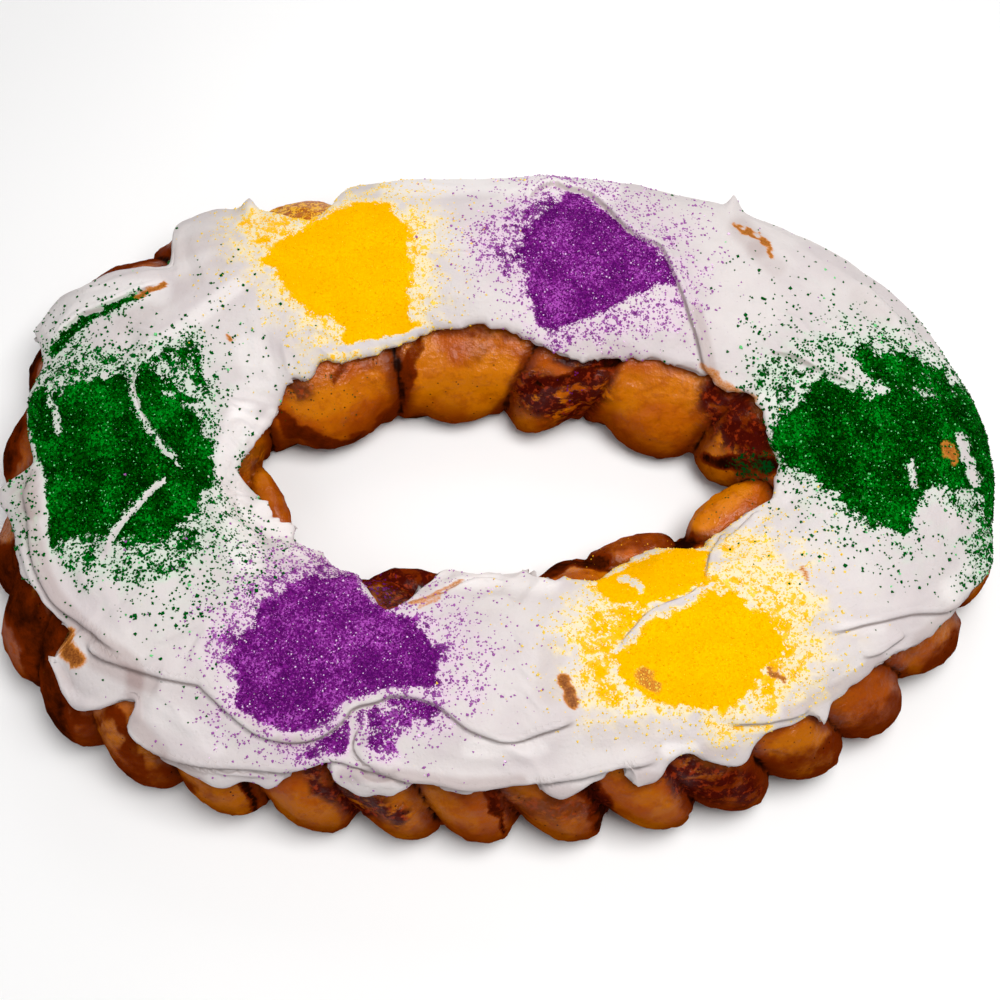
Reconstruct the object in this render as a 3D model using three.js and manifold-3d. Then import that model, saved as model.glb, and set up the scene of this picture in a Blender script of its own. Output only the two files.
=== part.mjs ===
// Braided ring cake: a baked oval braid under a thick poured icing with six patches of coarse sugar.
// Millimetres, +Z up. The origin is the middle of the underside, and the length lies along X.
import * as THREE from 'three';
import { ParametricGeometry } from 'three/addons/geometries/ParametricGeometry.js';
import { mergeVertices } from 'three/addons/utils/BufferGeometryUtils.js';
import Module from 'manifold-3d';

const wasm = await Module();
wasm.setup();

// ---------------------------------------------------------------- driving dimensions

// `squareness` is the outline's exponent at its -X and +X ends: 2 is an ellipse, more is fuller.
const OUTER_OVAL = { length: 380, width: 266, squareness: [2.75, 2], centre: [0, 0] };
const INNER_OVAL = { length: 182, width: 65, squareness: [2.1, 2], centre: [-4, -7] };

// The two rows of strand ends that show at the sides of the braid. Each end has its place round its oval
// (as a share of the way), its width, and how far it stands proud of the oval.
const OUTER_ROW = { count: 28, bunch: 0.2, start: 0.0156 };   // `bunch` packs them closer on the -Y side
const INNER_ENDS = [
  [0.015, 40, 0], [0.1, 38, 0], [0.19, 36, 0], [0.28, 38, 0], [0.368, 50, 0], [0.487, 54, -5],
  [0.577, 30, 0], [0.655, 52, 0], [0.725, 32, 0], [0.835, 34, 6], [0.925, 40, 8],
];
const STRAND = { reach: 30, depth: 19 };   // half its visible length, and half its thickness across the arm
const STRAND_LEAN = { forward: 0.58, inward: 0.63, up: 0.51 };  // the way a strand climbs from its edge
const STRAND_FULLNESS = 0.54;        // half a strand's width as a share of the room it has
const STRAND_UNEVEN = 0.07;          // how far strands differ in size and place
const BASE_SINK = 1.6;               // flattened off each strand by the tray

// The fused middle of the braid, under the strands: its section would reach `depth` below its axis, but the
// tray cuts it flat. Then the steps of the whole dough surface.
const CORE = { axisHeight: 20, height: 45, depth: 40, sideClearance: 9, roundness: 2.5 };
const ARM_MARGIN = 8;                // a strand that starts further out belongs to the opposite arm
const DOUGH_STEPS = { around: 156, section: 16 };

const ICING = {
  around: 128,                       // steps round the ring
  across: 12,                        // rows over the top, edge to edge
  under: 3,                          // rows along the underside
  thickness: 6.5,
  leastThickness: 4.2,
  bodyDepth: 10,                     // how far the body reaches down before the dough is cut away
  lip: 3.2,                          // the rounded edge's drop
  undercut: 2,                       // how far the edge's lower side stands back
  smoothing: 5,
};
// The coarser copy of the dough that shapes the icing's underside, grown to stay clear of the real one.
const UNDERSIDE = { around: 78, section: 16, growth: 1.9 };
// Distance from the dough's edge to the icing's edge: an average, and its change along Y and X.
const OUTER_INSET = { mean: 8.8, alongY: 6, alongX: 4 };
const INNER_INSET = { mean: 11, alongY: -8.5, alongX: -2 };
// Runs of icing past that edge, or bays in it: where on the ring, how far, and how wide (turns).
const OUTER_RUNS = [
  { turn: 0.105, run: 6, width: 0.008 }, { turn: 0.055, run: 4, width: 0.012 },
  { turn: 0.976, run: 5, width: 0.006 }, { turn: 0.938, run: 4, width: 0.006 },
  { turn: 0.15, run: 7, width: 0.012 }, { turn: 0.2, run: -4, width: 0.01 },
  { turn: 0.36, run: -9, width: 0.035 }, { turn: 0.43, run: 3, width: 0.005 },
  { turn: 0.6, run: 3, width: 0.006 }, { turn: 0.9, run: 4, width: 0.02 },
];
const INNER_RUNS = [
  { turn: 0.08, run: -9, width: 0.014 }, { turn: 0.25, run: 6, width: 0.06 },
  { turn: 0.46, run: -7, width: 0.05 }, { turn: 0.87, run: -12, width: 0.05 },
];
// Folds left by the spatula: start, bend and end in plan, height and half-width.
const FOLDS = [
  { path: [[-167, -38], [-149, -79], [-68, -104]], rise: 4, spread: 7 },
  { path: [[-68, -104], [-38, -77], [5, -104]], rise: 3, spread: 6 },
  { path: [[-46, -107], [2, -123], [68, -106]], rise: 3, spread: 7 },
  { path: [[28, 111], [60, 93], [92, 13]], rise: 4, spread: 7 },
  { path: [[100, 27], [116, 31], [150, 8]], rise: 3, spread: 6 },
  { path: [[-171, 40], [-151, 63], [-122, 78]], rise: 4, spread: 6 },
  { path: [[-168, -6], [-162, -35], [-135, -66]], rise: 3, spread: 6 },
  { path: [[-114, -5], [-151, 29], [-97, 85]], rise: 3.5, spread: 7 },
  { path: [[-118, -13], [-140, -35], [-127, -69]], rise: 2.5, spread: 6 },
  { path: [[114, -67], [140, -59], [170, -53]], rise: 4, spread: 6 },
  { path: [[40, -75], [52, -59], [72, -53]], rise: 2.5, spread: 6 },
];

// Sugar patches: centre and half-sizes in plan.
const SUGAR_PATCHES = [
  { centre: [-133, -7], half: [29, 38] }, { centre: [-59, 78], half: [27, 27] },
  { centre: [38, 78], half: [29, 29] }, { centre: [147, 1], half: [34, 38] },
  { centre: [67, -68], half: [36, 24] }, { centre: [-56, -75], half: [34, 25] },
];
const SUGAR_RISE = 0.9;
const GRAINS = { perPatch: 12, size: 1.35, uneven: 0.25, sink: 0.25 };

const FULL_TURN = Math.PI * 2;

// ---------------------------------------------------------------- small helpers

// Repeatable random numbers (mulberry32).
function makeRandom(seed) {
  let state = seed;
  return () => {
    state = (state + 0x6d2b79f5) | 0;
    let mixed = Math.imul(state ^ (state >>> 15), 1 | state);
    mixed = (mixed + Math.imul(mixed ^ (mixed >>> 7), 61 | mixed)) ^ mixed;
    return ((mixed ^ (mixed >>> 14)) >>> 0) / 4294967296;
  };
}

function toSolid(geometry) {
  const bare = geometry.index ? geometry.clone() : geometry;
  bare.deleteAttribute('normal');
  bare.deleteAttribute('uv');
  const merged = mergeVertices(bare, 1e-4);
  const mesh = new wasm.Mesh({
    numProp: 3,
    vertProperties: new Float32Array(merged.attributes.position.array),
    triVerts: new Uint32Array(merged.index.array),
  });
  return new wasm.Manifold(mesh);
}

// The largest outer shell of a solid: sealed pockets are filled and loose scraps dropped.
function largestBody(solid) {
  return solid.decompose().reduce((best, body) => (body.volume() > best.volume() ? body : best));
}

function toGeometry(solid) {
  const mesh = solid.getMesh();
  const geometry = new THREE.BufferGeometry();
  geometry.setAttribute('position', new THREE.BufferAttribute(mesh.vertProperties, mesh.numProp));
  geometry.setIndex(new THREE.BufferAttribute(mesh.triVerts, 1));
  geometry.computeVertexNormals();
  return geometry;
}

// A ring-shaped surface: u once round the ring, v once round its section, taken backwards to face outwards.
function closedSurface(pointAt, around, section) {
  return new ParametricGeometry((u, v, target) => pointAt(u, 1 - v, target), around, section);
}

// ---------------------------------------------------------------- the oval ring

// An oval outline that starts at the middle of the -Y side and runs clockwise seen from above.
class OvalLine extends THREE.Curve {
  constructor(oval) {
    super();
    this.oval = oval;
    this.arcLengthDivisions = 720;
  }

  getPoint(t, target = new THREE.Vector3()) {
    const { length, width, squareness, centre } = this.oval;
    const angle = -FULL_TURN / 4 - FULL_TURN * t;
    const exponent = THREE.MathUtils.lerp(...squareness, (1 + Math.cos(angle)) / 2);
    const soft = (value) => Math.sign(value) * Math.abs(value) ** (2 / exponent);
    return target.set(
      centre[0] + (length / 2) * soft(Math.cos(angle)),
      centre[1] + (width / 2) * soft(Math.sin(angle)),
      0,
    );
  }
}

const outerLine = new OvalLine(OUTER_OVAL);
const innerLine = new OvalLine(INNER_OVAL);

// The line half-way between the two outlines.
class MiddleLine extends THREE.Curve {
  constructor() {
    super();
    this.arcLengthDivisions = 720;
  }

  getPoint(t, target = new THREE.Vector3()) {
    return target.copy(outerLine.getPoint(t)).add(innerLine.getPoint(t)).multiplyScalar(0.5);
  }
}

const middleLine = new MiddleLine();

// Where a place on the ring is: `turn` goes once round, and the arm's cross-section lies at that turn.
function armAt(turn) {
  const t = middleLine.getUtoTmapping(((turn % 1) + 1) % 1);
  const outer = outerLine.getPoint(t);
  const inner = innerLine.getPoint(t);
  const span = outer.clone().sub(inner);
  const halfWidth = span.length() / 2;
  return { middle: outer.add(inner).multiplyScalar(0.5), outward: span.normalize(), halfWidth };
}

// ---------------------------------------------------------------- the dough

function outerEnds() {
  return Array.from({ length: OUTER_ROW.count }, (_, index) => {
    const share = index / OUTER_ROW.count + OUTER_ROW.start;
    const place = share - (OUTER_ROW.bunch * Math.sin(FULL_TURN * share)) / FULL_TURN;
    const room = outerLine.getLength() / OUTER_ROW.count;
    return [place, room * (1 - OUTER_ROW.bunch * Math.cos(FULL_TURN * share)), 0];
  });
}

// The visible lengths of strand on one side: each swells out at its edge and climbs forward over the arm.
function makeStrands(line, ends, outwardSign, random) {
  return ends.map(([place, width, proud]) => {
    const wobble = () => (random() - 0.5) * 2 * STRAND_UNEVEN;
    const t = line.getUtoTmapping((place + (wobble() * width) / line.getLength() + 1) % 1);
    const edge = line.getPoint(t);
    const forward = line.getTangent(t);
    const up = new THREE.Vector3(0, 0, 1);
    const outward = forward.clone().cross(up).multiplyScalar(-outwardSign);
    const long = forward.clone().multiplyScalar(STRAND_LEAN.forward)
      .addScaledVector(outward, -STRAND_LEAN.inward)
      .addScaledVector(up, STRAND_LEAN.up)
      .normalize();
    const side = forward.clone().addScaledVector(long, -forward.dot(long)).normalize();
    const axes = [long, side, long.clone().cross(side)];
    const half = [STRAND.reach, width * STRAND_FULLNESS, STRAND.depth].map((size) => size * (1 + wobble()));
    const extent = (way) => Math.hypot(...axes.map((axis, i) => half[i] * axis.dot(way)));
    const centre = edge.addScaledVector(outward, proud - extent(outward));
    centre.z = extent(up) - BASE_SINK;
    return { centre, axes, half };
  });
}

// How far a strand reaches along a ray, or 0 where the ray misses it.
function strandReach({ centre, axes, half }, origin, ray) {
  const offset = origin.clone().sub(centre);
  let [a, b, c] = [0, 0, -1];
  axes.forEach((axis, i) => {
    const start = offset.dot(axis) / half[i];
    const step = ray.dot(axis) / half[i];
    a += step * step;
    b += 2 * start * step;
    c += start * start;
  });
  const root = b * b - 4 * a * c;
  return root > 0 ? (-b + Math.sqrt(root)) / (2 * a) : 0;
}

// The dough's surface: u runs round the ring, v round the arm's section, from its outer edge over the top.
function doughPoint(strands, growth, u, v, target) {
  const { middle, outward, halfWidth } = armAt(u);
  const origin = middle.setZ(CORE.axisHeight);
  const topHalf = CORE.height - CORE.axisHeight;
  const angle = FULL_TURN * v;
  const ray = outward.multiplyScalar(halfWidth * Math.cos(angle)).setZ(topHalf * Math.sin(angle)).normalize();
  const level = Math.hypot(ray.x, ray.y);
  const coreHalf = ray.z > 0 ? topHalf : CORE.depth;
  const coreShare = (level / (halfWidth - CORE.sideClearance)) ** CORE.roundness
    + Math.abs(ray.z / coreHalf) ** CORE.roundness;
  const coreReach = coreShare ** (-1 / CORE.roundness);
  const reaches = strands.map((strand) => strandReach(strand, origin, ray));
  const reach = Math.max(coreReach, ...reaches.filter((length) => length < halfWidth + ARM_MARGIN));
  const toTray = ray.z < 0 ? -CORE.axisHeight / ray.z : Infinity;
  target.copy(origin).addScaledVector(ray, Math.min(reach, toTray) + growth);
}

function doughSurface(strands, { around, section }, growth = 0) {
  return closedSurface((u, v, target) => doughPoint(strands, growth, u, v, target), around, section);
}

// ---------------------------------------------------------------- the icing

// Height of the dough over a plan point, from the strands' and the core's own formulas.
function doughHeight(point, { halfWidth }, across, strands) {
  const up = new THREE.Vector3(0, 0, 1);
  const onTray = point.clone().setZ(0);
  const coreShare = Math.min(1, Math.abs(across) / (halfWidth - CORE.sideClearance));
  const coreRise = (CORE.height - CORE.axisHeight) * (1 - coreShare ** CORE.roundness) ** (1 / CORE.roundness);
  return Math.max(CORE.axisHeight + coreRise, ...strands.map((strand) => strandReach(strand, onTray, up)));
}

function insetAt(inset, turn) {
  return inset.mean + inset.alongY * Math.cos(FULL_TURN * turn) + inset.alongX * Math.sin(FULL_TURN * turn);
}

function runAt(runs, turn) {
  return runs.reduce((sum, { turn: place, run, width }) => {
    const away = Math.abs(turn - place);
    return sum + run * Math.exp(-((Math.min(away, 1 - away) / width) ** 2));
  }, 0);
}

const foldLines = FOLDS.map(({ path, rise, spread }) => {
  const [start, bend, end] = path.map(([x, y]) => new THREE.Vector2(x, y));
  return { points: new THREE.QuadraticBezierCurve(start, bend, end).getPoints(24), rise, spread };
});

// Folds stand up along their line and fade at its ends.
function foldHeight(point) {
  const plan = new THREE.Vector2(point.x, point.y);
  return foldLines.reduce((sum, { points, rise, spread }) => {
    let nearest = Infinity;
    let at = 0;
    points.forEach((spot, i) => {
      const away = spot.distanceTo(plan);
      if (away < nearest) [nearest, at] = [away, i / (points.length - 1)];
    });
    return sum + rise * Math.sin(Math.PI * (0.12 + 0.76 * at)) * Math.exp(-((nearest / spread) ** 2));
  }, 0);
}

function sugarCover(point) {
  return SUGAR_PATCHES.reduce((most, { centre, half }) => {
    const away = Math.hypot((point.x - centre[0]) / half[0], (point.y - centre[1]) / half[1]);
    return Math.max(most, THREE.MathUtils.smoothstep(1.1 - away, 0, 0.3));
  }, 0);
}

// The icing's top as a grid of points, `around` by `across`.
function icingTop(strands, random) {
  const grid = [];
  for (let i = 0; i < ICING.around; i += 1) {
    const turn = i / ICING.around;
    const place = armAt(turn);
    const outerEdge = place.halfWidth - insetAt(OUTER_INSET, turn) + runAt(OUTER_RUNS, turn);
    const innerEdge = -place.halfWidth + insetAt(INNER_INSET, turn) - runAt(INNER_RUNS, turn);
    const column = [];
    for (let j = 0; j < ICING.across; j += 1) {
      const share = j / (ICING.across - 1);
      const across = outerEdge + (innerEdge - outerEdge) * share;
      const point = place.middle.clone().addScaledVector(place.outward, across);
      column.push({ point, outward: place.outward, dough: doughHeight(point, place, across, strands) });
    }
    grid.push(column);
  }
  const smooth = smoothed(grid.map((column) => column.map(({ dough }) => dough)));
  grid.forEach((column, i) => column.forEach((cell, j) => {
    const poured = Math.max(cell.dough + ICING.leastThickness, smooth[i][j] + ICING.thickness);
    const sugar = SUGAR_RISE * sugarCover(cell.point) * (0.6 + 0.8 * random());
    const edge = j === 0 || j === ICING.across - 1 ? ICING.lip : 0;
    cell.point.z = poured + foldHeight(cell.point) + sugar - edge;
  }));
  return grid;
}

// Averages each height with its neighbours, round the ring and across the arm.
function smoothed(heights) {
  let current = heights;
  const count = heights.length;
  for (let pass = 0; pass < ICING.smoothing; pass += 1) {
    const last = current;
    current = last.map((column, i) => column.map((height, j) => {
      const before = last[(i + count - 1) % count][j];
      const after = last[(i + 1) % count][j];
      const inner = column[Math.max(j - 1, 0)];
      const outer = column[Math.min(j + 1, column.length - 1)];
      return (2 * height + before + after + inner + outer) / 6;
    }));
  }
  return current;
}

// A closed ring-shaped body: the top rows from the outer edge, then the underside rows back to it.
function icingShell(top) {
  const rows = ICING.across + ICING.under;
  const surfacePoint = (u, v, target) => {
    const column = top[Math.round(u * ICING.around) % ICING.around];
    const row = Math.round(v * rows) % rows;
    if (row < ICING.across) {
      target.copy(column[row].point);
      return;
    }
    const share = 1 - (row - ICING.across) / (ICING.under - 1);
    const cell = column[Math.round(share * (ICING.across - 1))];
    const edge = share === 0 || share === 1;
    target.copy(cell.point).addScaledVector(cell.outward, edge ? (share - 0.5) * 2 * ICING.undercut : 0);
    target.z -= edge ? ICING.lip : ICING.bodyDepth;
  };
  return toSolid(closedSurface(surfacePoint, ICING.around, rows));
}

// Coarse sugar grains: spread evenly over each patch by a golden-angle spiral and half sunk in the icing.
function sugarGrains(icing, top, random) {
  const spots = top.flat().map(({ point }) => point);
  const heightAt = (x, y) => {
    const near = spots.map((spot) => [(spot.x - x) ** 2 + (spot.y - y) ** 2 + 0.01, spot.z]);
    near.sort((a, b) => a[0] - b[0]);
    const three = near.slice(0, 3);
    const weight = three.reduce((sum, [away]) => sum + 1 / away, 0);
    return three.reduce((sum, [away, z]) => sum + z / away, 0) / weight;
  };
  let sugared = icing;
  for (const { centre, half } of SUGAR_PATCHES) {
    for (let index = 0; index < GRAINS.perPatch; index += 1) {
      const reach = Math.sqrt((index + 0.5) / GRAINS.perPatch) * 0.95;
      const angle = index * Math.PI * (3 - Math.sqrt(5)) + random() * 0.4;
      const x = centre[0] + half[0] * reach * Math.cos(angle);
      const y = centre[1] + half[1] * reach * Math.sin(angle);
      const size = GRAINS.size * (1 + (random() - 0.5) * 2 * GRAINS.uneven);
      const grain = new THREE.IcosahedronGeometry(size, 0)
        .rotateX(random() * FULL_TURN)
        .rotateZ(random() * FULL_TURN)
        .translate(x, y, heightAt(x, y) + size * GRAINS.sink);
      sugared = sugared.add(toSolid(grain));
    }
  }
  return sugared;
}

// ---------------------------------------------------------------- assembly

const random = makeRandom(17);
const strands = [
  ...makeStrands(outerLine, outerEnds(), 1, random),
  ...makeStrands(innerLine, INNER_ENDS, -1, random),
];
const dough = toSolid(doughSurface(strands, DOUGH_STEPS));
const doughCutter = toSolid(doughSurface(strands, UNDERSIDE, UNDERSIDE.growth));
const top = icingTop(strands, random);
const icing = largestBody(sugarGrains(largestBody(icingShell(top).subtract(doughCutter)), top, random));

const doughMaterial = new THREE.MeshStandardMaterial({ color: 0xb5691f, roughness: 0.5, metalness: 0 });
const icingMaterial = new THREE.MeshStandardMaterial({ color: 0xf0ecee, roughness: 0.4, metalness: 0 });

const doughGeometry = toGeometry(dough);
const icingGeometry = toGeometry(icing);
doughGeometry.computeBoundingBox();
icingGeometry.computeBoundingBox();
const centre = doughGeometry.boundingBox.clone().union(icingGeometry.boundingBox)
  .getCenter(new THREE.Vector3());

const braid = new THREE.Mesh(doughGeometry, doughMaterial);
braid.name = 'braid';
const icingMesh = new THREE.Mesh(icingGeometry, icingMaterial);
icingMesh.name = 'icing';

const cake = new THREE.Group();
cake.add(braid, icingMesh);
cake.position.set(-centre.x, -centre.y, 0);

export default cake;
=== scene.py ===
"""A braided ring cake: a glazed oval braid, a poured icing and three colours of coarse sugar.

Places and sizes are in millimetres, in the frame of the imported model. Meshes are written in metres.
"""

from __future__ import annotations

import logging
from collections.abc import Iterator
from contextlib import contextmanager
from dataclasses import dataclass, field
from enum import Enum
from itertools import product

import bpy
import numpy as np
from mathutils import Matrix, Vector
from mathutils.bvhtree import BVHTree
from numpy.linalg import norm


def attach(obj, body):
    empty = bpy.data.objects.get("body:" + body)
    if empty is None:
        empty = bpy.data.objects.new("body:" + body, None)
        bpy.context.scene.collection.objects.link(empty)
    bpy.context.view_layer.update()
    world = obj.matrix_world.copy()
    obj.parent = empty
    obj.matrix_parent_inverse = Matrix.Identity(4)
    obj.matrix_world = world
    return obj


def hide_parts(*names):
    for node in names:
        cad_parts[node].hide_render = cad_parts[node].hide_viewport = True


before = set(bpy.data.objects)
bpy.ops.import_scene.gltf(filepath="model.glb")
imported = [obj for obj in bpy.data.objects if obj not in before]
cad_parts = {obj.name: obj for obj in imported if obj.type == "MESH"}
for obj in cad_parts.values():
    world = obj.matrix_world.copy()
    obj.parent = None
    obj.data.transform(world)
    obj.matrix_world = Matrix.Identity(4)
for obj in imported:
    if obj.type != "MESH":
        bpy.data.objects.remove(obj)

LOG = logging.getLogger("ring_cake")
MM = 0.001  # metres in a millimetre
MARK = 0.395  # millimetres that a mark of the main view spans at the cake
FULL_TURN = 2 * np.pi
FAR_OUTSIDE = -1000.0  # stands for a depth that wasn't measured
Array = np.ndarray
Piece = bpy.types.Object
Socket = bpy.types.NodeSocket
Mark = tuple[float, float]


# ---- small tools


def unit(vectors: Array) -> Array:
    """Scales vectors, along the last axis, to length one."""
    return vectors / np.maximum(norm(vectors, axis=-1, keepdims=True), 1e-9)


def ease(value: Array, low: float, high: float) -> Array:
    """Rises smoothly from 0 at `low` to 1 at `high`, or falls where `high` is the smaller."""
    share = np.clip((value - low) / (high - low), 0, 1)
    return share * share * (3 - 2 * share)


class Dice:
    """Repeatable random numbers, the same that place the strands of the solid braid."""

    def __init__(self, seed: int) -> None:
        """Starts the sequence at `seed`."""
        self._state = seed

    def roll(self) -> float:
        """Gives the next number from 0 to 1.

        Returns:
            The number.
        """
        word = 0xFFFFFFFF
        self._state = (self._state + 0x6D2B79F5) & word
        mixed = self._state ^ (self._state >> 15)
        mixed = (mixed * (1 | self._state)) & word
        mixed = ((mixed + (((mixed ^ (mixed >> 7)) * (61 | mixed)) & word)) & word) ^ mixed
        return (mixed ^ (mixed >> 14)) / 4294967296


class Lumps:
    """Seeded smooth noise in space, for relief and for uneven cover."""

    def __init__(self, seed: int) -> None:
        """Shuffles the lattice.

        Args:
            seed: What the shuffle starts from.
        """
        random = np.random.default_rng(seed)
        self._order = random.permutation(256)
        self._slopes = unit(random.normal(size=(256, 3)))

    def at(self, places: Array, size: float) -> Array:
        """Samples the noise.

        Args:
            places: Points, with x, y, z along the last axis.
            size: The width of one lump.

        Returns:
            Values of about -1 to 1.
        """
        scaled = places / size
        cell = np.floor(scaled).astype(int)
        inside = scaled - cell
        soft = inside**3 * (inside * (inside * 6 - 15) + 10)
        total = np.zeros(places.shape[:-1])
        for corner in product((0, 1), repeat=3):
            step = np.array(corner)
            spot = (cell + step) & 255
            pick = self._order[spot[..., 0]] + spot[..., 1]
            pick = self._order[(self._order[pick & 255] + spot[..., 2]) & 255]
            weight = np.prod(np.where(step == 1, soft, 1 - soft), axis=-1)
            total += weight * np.sum(self._slopes[pick] * (inside - step), axis=-1)
        return total * 1.7

    def rough(self, places: Array, size: float, layers: int = 3) -> Array:
        """Adds up layers of noise, each half the size and half the height of the last."""
        return sum(self.at(places + 37.0 * n, size / 2**n) / 2**n for n in range(layers))


def nearest_on(line: Array, places: Array) -> tuple[Array, Array]:
    """Finds the nearest spot on a line of straight steps.

    Args:
        line: The line's points.
        places: The points to measure from.

    Returns:
        Each distance, and the spot as a point number with a fraction.
    """
    best, spot = np.full(len(places), 1e9), np.zeros(len(places))
    for number, (start, way) in enumerate(zip(line[:-1], np.diff(line, axis=0))):
        offset = places - start
        share = np.clip(offset @ way / max(way @ way, 1e-9), 0, 1)
        away = norm(offset - share[:, None] * way, axis=1)
        closer = away < best
        best[closer], spot[closer] = away[closer], number + share[closer]
    return best, spot


@dataclass(frozen=True)
class Sight:
    """The main view, over the near side. Marks count thousandths of its width from its top left."""

    aim: tuple[float, float, float] = (1, 1, 0)
    distance: float = 536
    elevation: float = 68
    lens: float = 48.85
    sensor: float = 36

    def axes(self) -> tuple[Array, Array, Array]:
        """Gives the view's ways to the right, up and back.

        Returns:
            Three unit vectors.
        """
        tilt = np.radians(self.elevation)
        up, back = np.array([0, np.sin(tilt), np.cos(tilt)]), np.array([0, -np.cos(tilt), np.sin(tilt)])
        return np.array([1.0, 0, 0]), up, back

    def level(self, marks: tuple[Mark, ...] | Array) -> Array:
        """Turns marks into millimetres from the middle of the view, x to the right and y up."""
        return (np.asarray(marks, float) - 500) * (1, -1) * (self.sensor / self.lens * self.distance / 1000)

    def seen(self, places: Array) -> Array:
        """Gives where places in space appear.

        Args:
            places: Points in space.

        Returns:
            Where they are seen, on the scale of `level`.
        """
        right, up, back = self.axes()
        offset = places - np.array(self.aim)
        nearer = self.distance / (self.distance - offset @ back)
        return np.stack([offset @ right * nearer, offset @ up * nearer], axis=-1)

    def placed(self, marks: tuple[Mark, ...], height: float) -> Array:
        """Gives the places at a height that show under marks.

        Args:
            marks: The marks.
            height: The z of the places.

        Returns:
            The places.
        """
        right, up, back = self.axes()
        eye = np.array(self.aim) + back * self.distance
        level = self.level(marks)
        ways = level[:, :1] * right + level[:, 1:] * up - back * self.distance
        return eye + ways * (height - eye[2]) / ways[:, 2:]

    def cast(self, skin: BVHTree, marks: Array, height: float = 26) -> tuple[Array, Array]:
        """Drops marks on a surface.

        Args:
            skin: The surface.
            marks: The marks.
            height: Where a mark that misses is taken from, before it goes to the nearest place.

        Returns:
            The places, and the number of the face under each.
        """
        right, up, back = self.axes()
        eye = np.array(self.aim) + back * self.distance
        places, faces = [], []
        for x, y in self.level(marks):
            way = unit(right * x + up * y - back * self.distance)
            place, _, face, _ = skin.ray_cast(eye.tolist(), way.tolist())
            if place is None:
                place, _, face, _ = skin.find_nearest((eye + way * (height - eye[2]) / way[2]).tolist())
            places.append(tuple(place))
            faces.append(face)
        return np.array(places), np.array(faces)


SIGHT = Sight()


@dataclass(frozen=True)
class Trail:
    """A line of marks in the main view, rounded through them."""

    marks: tuple[Mark, ...]
    closed: bool = False

    def rounded(self, steps: int = 4) -> Array:
        """Gives a curve through the marks.

        Args:
            steps: Points in each stretch.

        Returns:
            The curve's points, as marks.
        """
        spots = np.array(self.marks, float)
        if self.closed:
            spots = np.vstack([spots[-1:], spots, spots[:2]])
        else:
            spots = np.vstack([2 * spots[:1] - spots[1:2], spots, 2 * spots[-1:] - spots[-2:-1]])
        share = np.linspace(0, 1, steps, endpoint=False)[:, None]
        stretches = []
        for before, start, end, after in zip(spots[:-3], spots[1:-2], spots[2:-1], spots[3:]):
            bend = 2 * before - 5 * start + 4 * end - after
            twist = 3 * (start - end) + after - before
            stretches.append(0.5 * (2 * start + (end - before) * share + bend * share**2 + twist * share**3))
        return np.vstack([*stretches, spots[-2:-1]])

    def depth_inside(self, seen: Array, room: float) -> Array:
        """Gives how deep places lie inside the closed line.

        Args:
            seen: Where the places are seen.
            room: How far outside the line it is still measured.

        Returns:
            The depth, negative outside the line and FAR_OUTSIDE beyond the room.
        """
        line = SIGHT.level(self.rounded(3))
        depth = np.full(len(seen), FAR_OUTSIDE)
        near = np.all((seen > line.min(0) - room) & (seen < line.max(0) + room), axis=1)
        x, y = seen[near].T
        crossings = np.zeros(len(x), int)
        for (x0, y0), (x1, y1) in zip(line[:-1], line[1:]):
            if y0 != y1:
                crossings += ((y0 > y) != (y1 > y)) & (x < x0 + (y - y0) * (x1 - x0) / (y1 - y0))
        depth[near] = nearest_on(line, seen[near])[0] * np.where(crossings % 2 == 1, 1, -1)
        return depth

    def nearness(self, seen: Array, width: float) -> Array:
        """Works out how near places are to the open line.

        Args:
            seen: Where the places are seen.
            width: How far it reaches, in marks.

        Returns:
            1 on the line and less beside it.
        """
        line = SIGHT.level(self.rounded(3))
        width = width * MARK
        close = np.zeros(len(seen))
        near = np.all((seen > line.min(0) - 2 * width) & (seen < line.max(0) + 2 * width), axis=1)
        close[near] = ease(nearest_on(line, seen[near])[0], 1.4 * width, 0.5 * width)
        return close


def line(*marks: float) -> Trail:
    """Makes an open trail from its marks, written x, y, x, y and so on."""
    return Trail(tuple(zip(marks[::2], marks[1::2])))


def loop(*marks: float) -> Trail:
    """Makes a closed trail in the same way."""
    return Trail(tuple(zip(marks[::2], marks[1::2])), True)


@dataclass(frozen=True)
class Streak:
    """A line of another colour or finish, `width` marks to each side."""

    trail: Trail
    width: float
    strength: float = 1.0

    def cover(self, seen: Array) -> Array:
        """Gives how strongly it covers places, from where they are seen."""
        return self.strength * self.trail.nearness(seen, self.width)


def streaks(*rows: tuple[float, ...]) -> tuple[Streak, ...]:
    """Makes streaks from rows, each its width, its strength and then the marks of its line."""
    return tuple(Streak(line(*marks), width, strength) for width, strength, *marks in rows)


def clear_selection() -> None:
    """Leaves nothing selected or active in the scene."""
    for item in bpy.context.selected_objects:
        item.select_set(False)
    bpy.context.view_layer.objects.active = None


def make_active(piece: Piece) -> None:
    """Selects one piece alone and makes it active.

    Args:
        piece: The piece.
    """
    clear_selection()
    piece.select_set(True)
    bpy.context.view_layer.objects.active = piece


def apply_modifier(piece: Piece, kind: str, **settings: object) -> None:
    """Adds a modifier to a piece and applies it at once.

    Args:
        piece: The piece.
        kind: The modifier's type.
        settings: Its own values.
    """
    make_active(piece)
    modifier = piece.modifiers.new(kind.lower(), kind)
    for name, value in settings.items():
        setattr(modifier, name, value)
    bpy.ops.object.modifier_apply(modifier=modifier.name)


def vertex_places(piece: Piece) -> Array:
    """Reads a piece's vertices as a table of millimetres.

    Args:
        piece: The piece.

    Returns:
        One row for each vertex.
    """
    table = np.empty(len(piece.data.vertices) * 3)
    piece.data.vertices.foreach_get("co", table)
    return table.reshape(-1, 3) / MM


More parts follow.
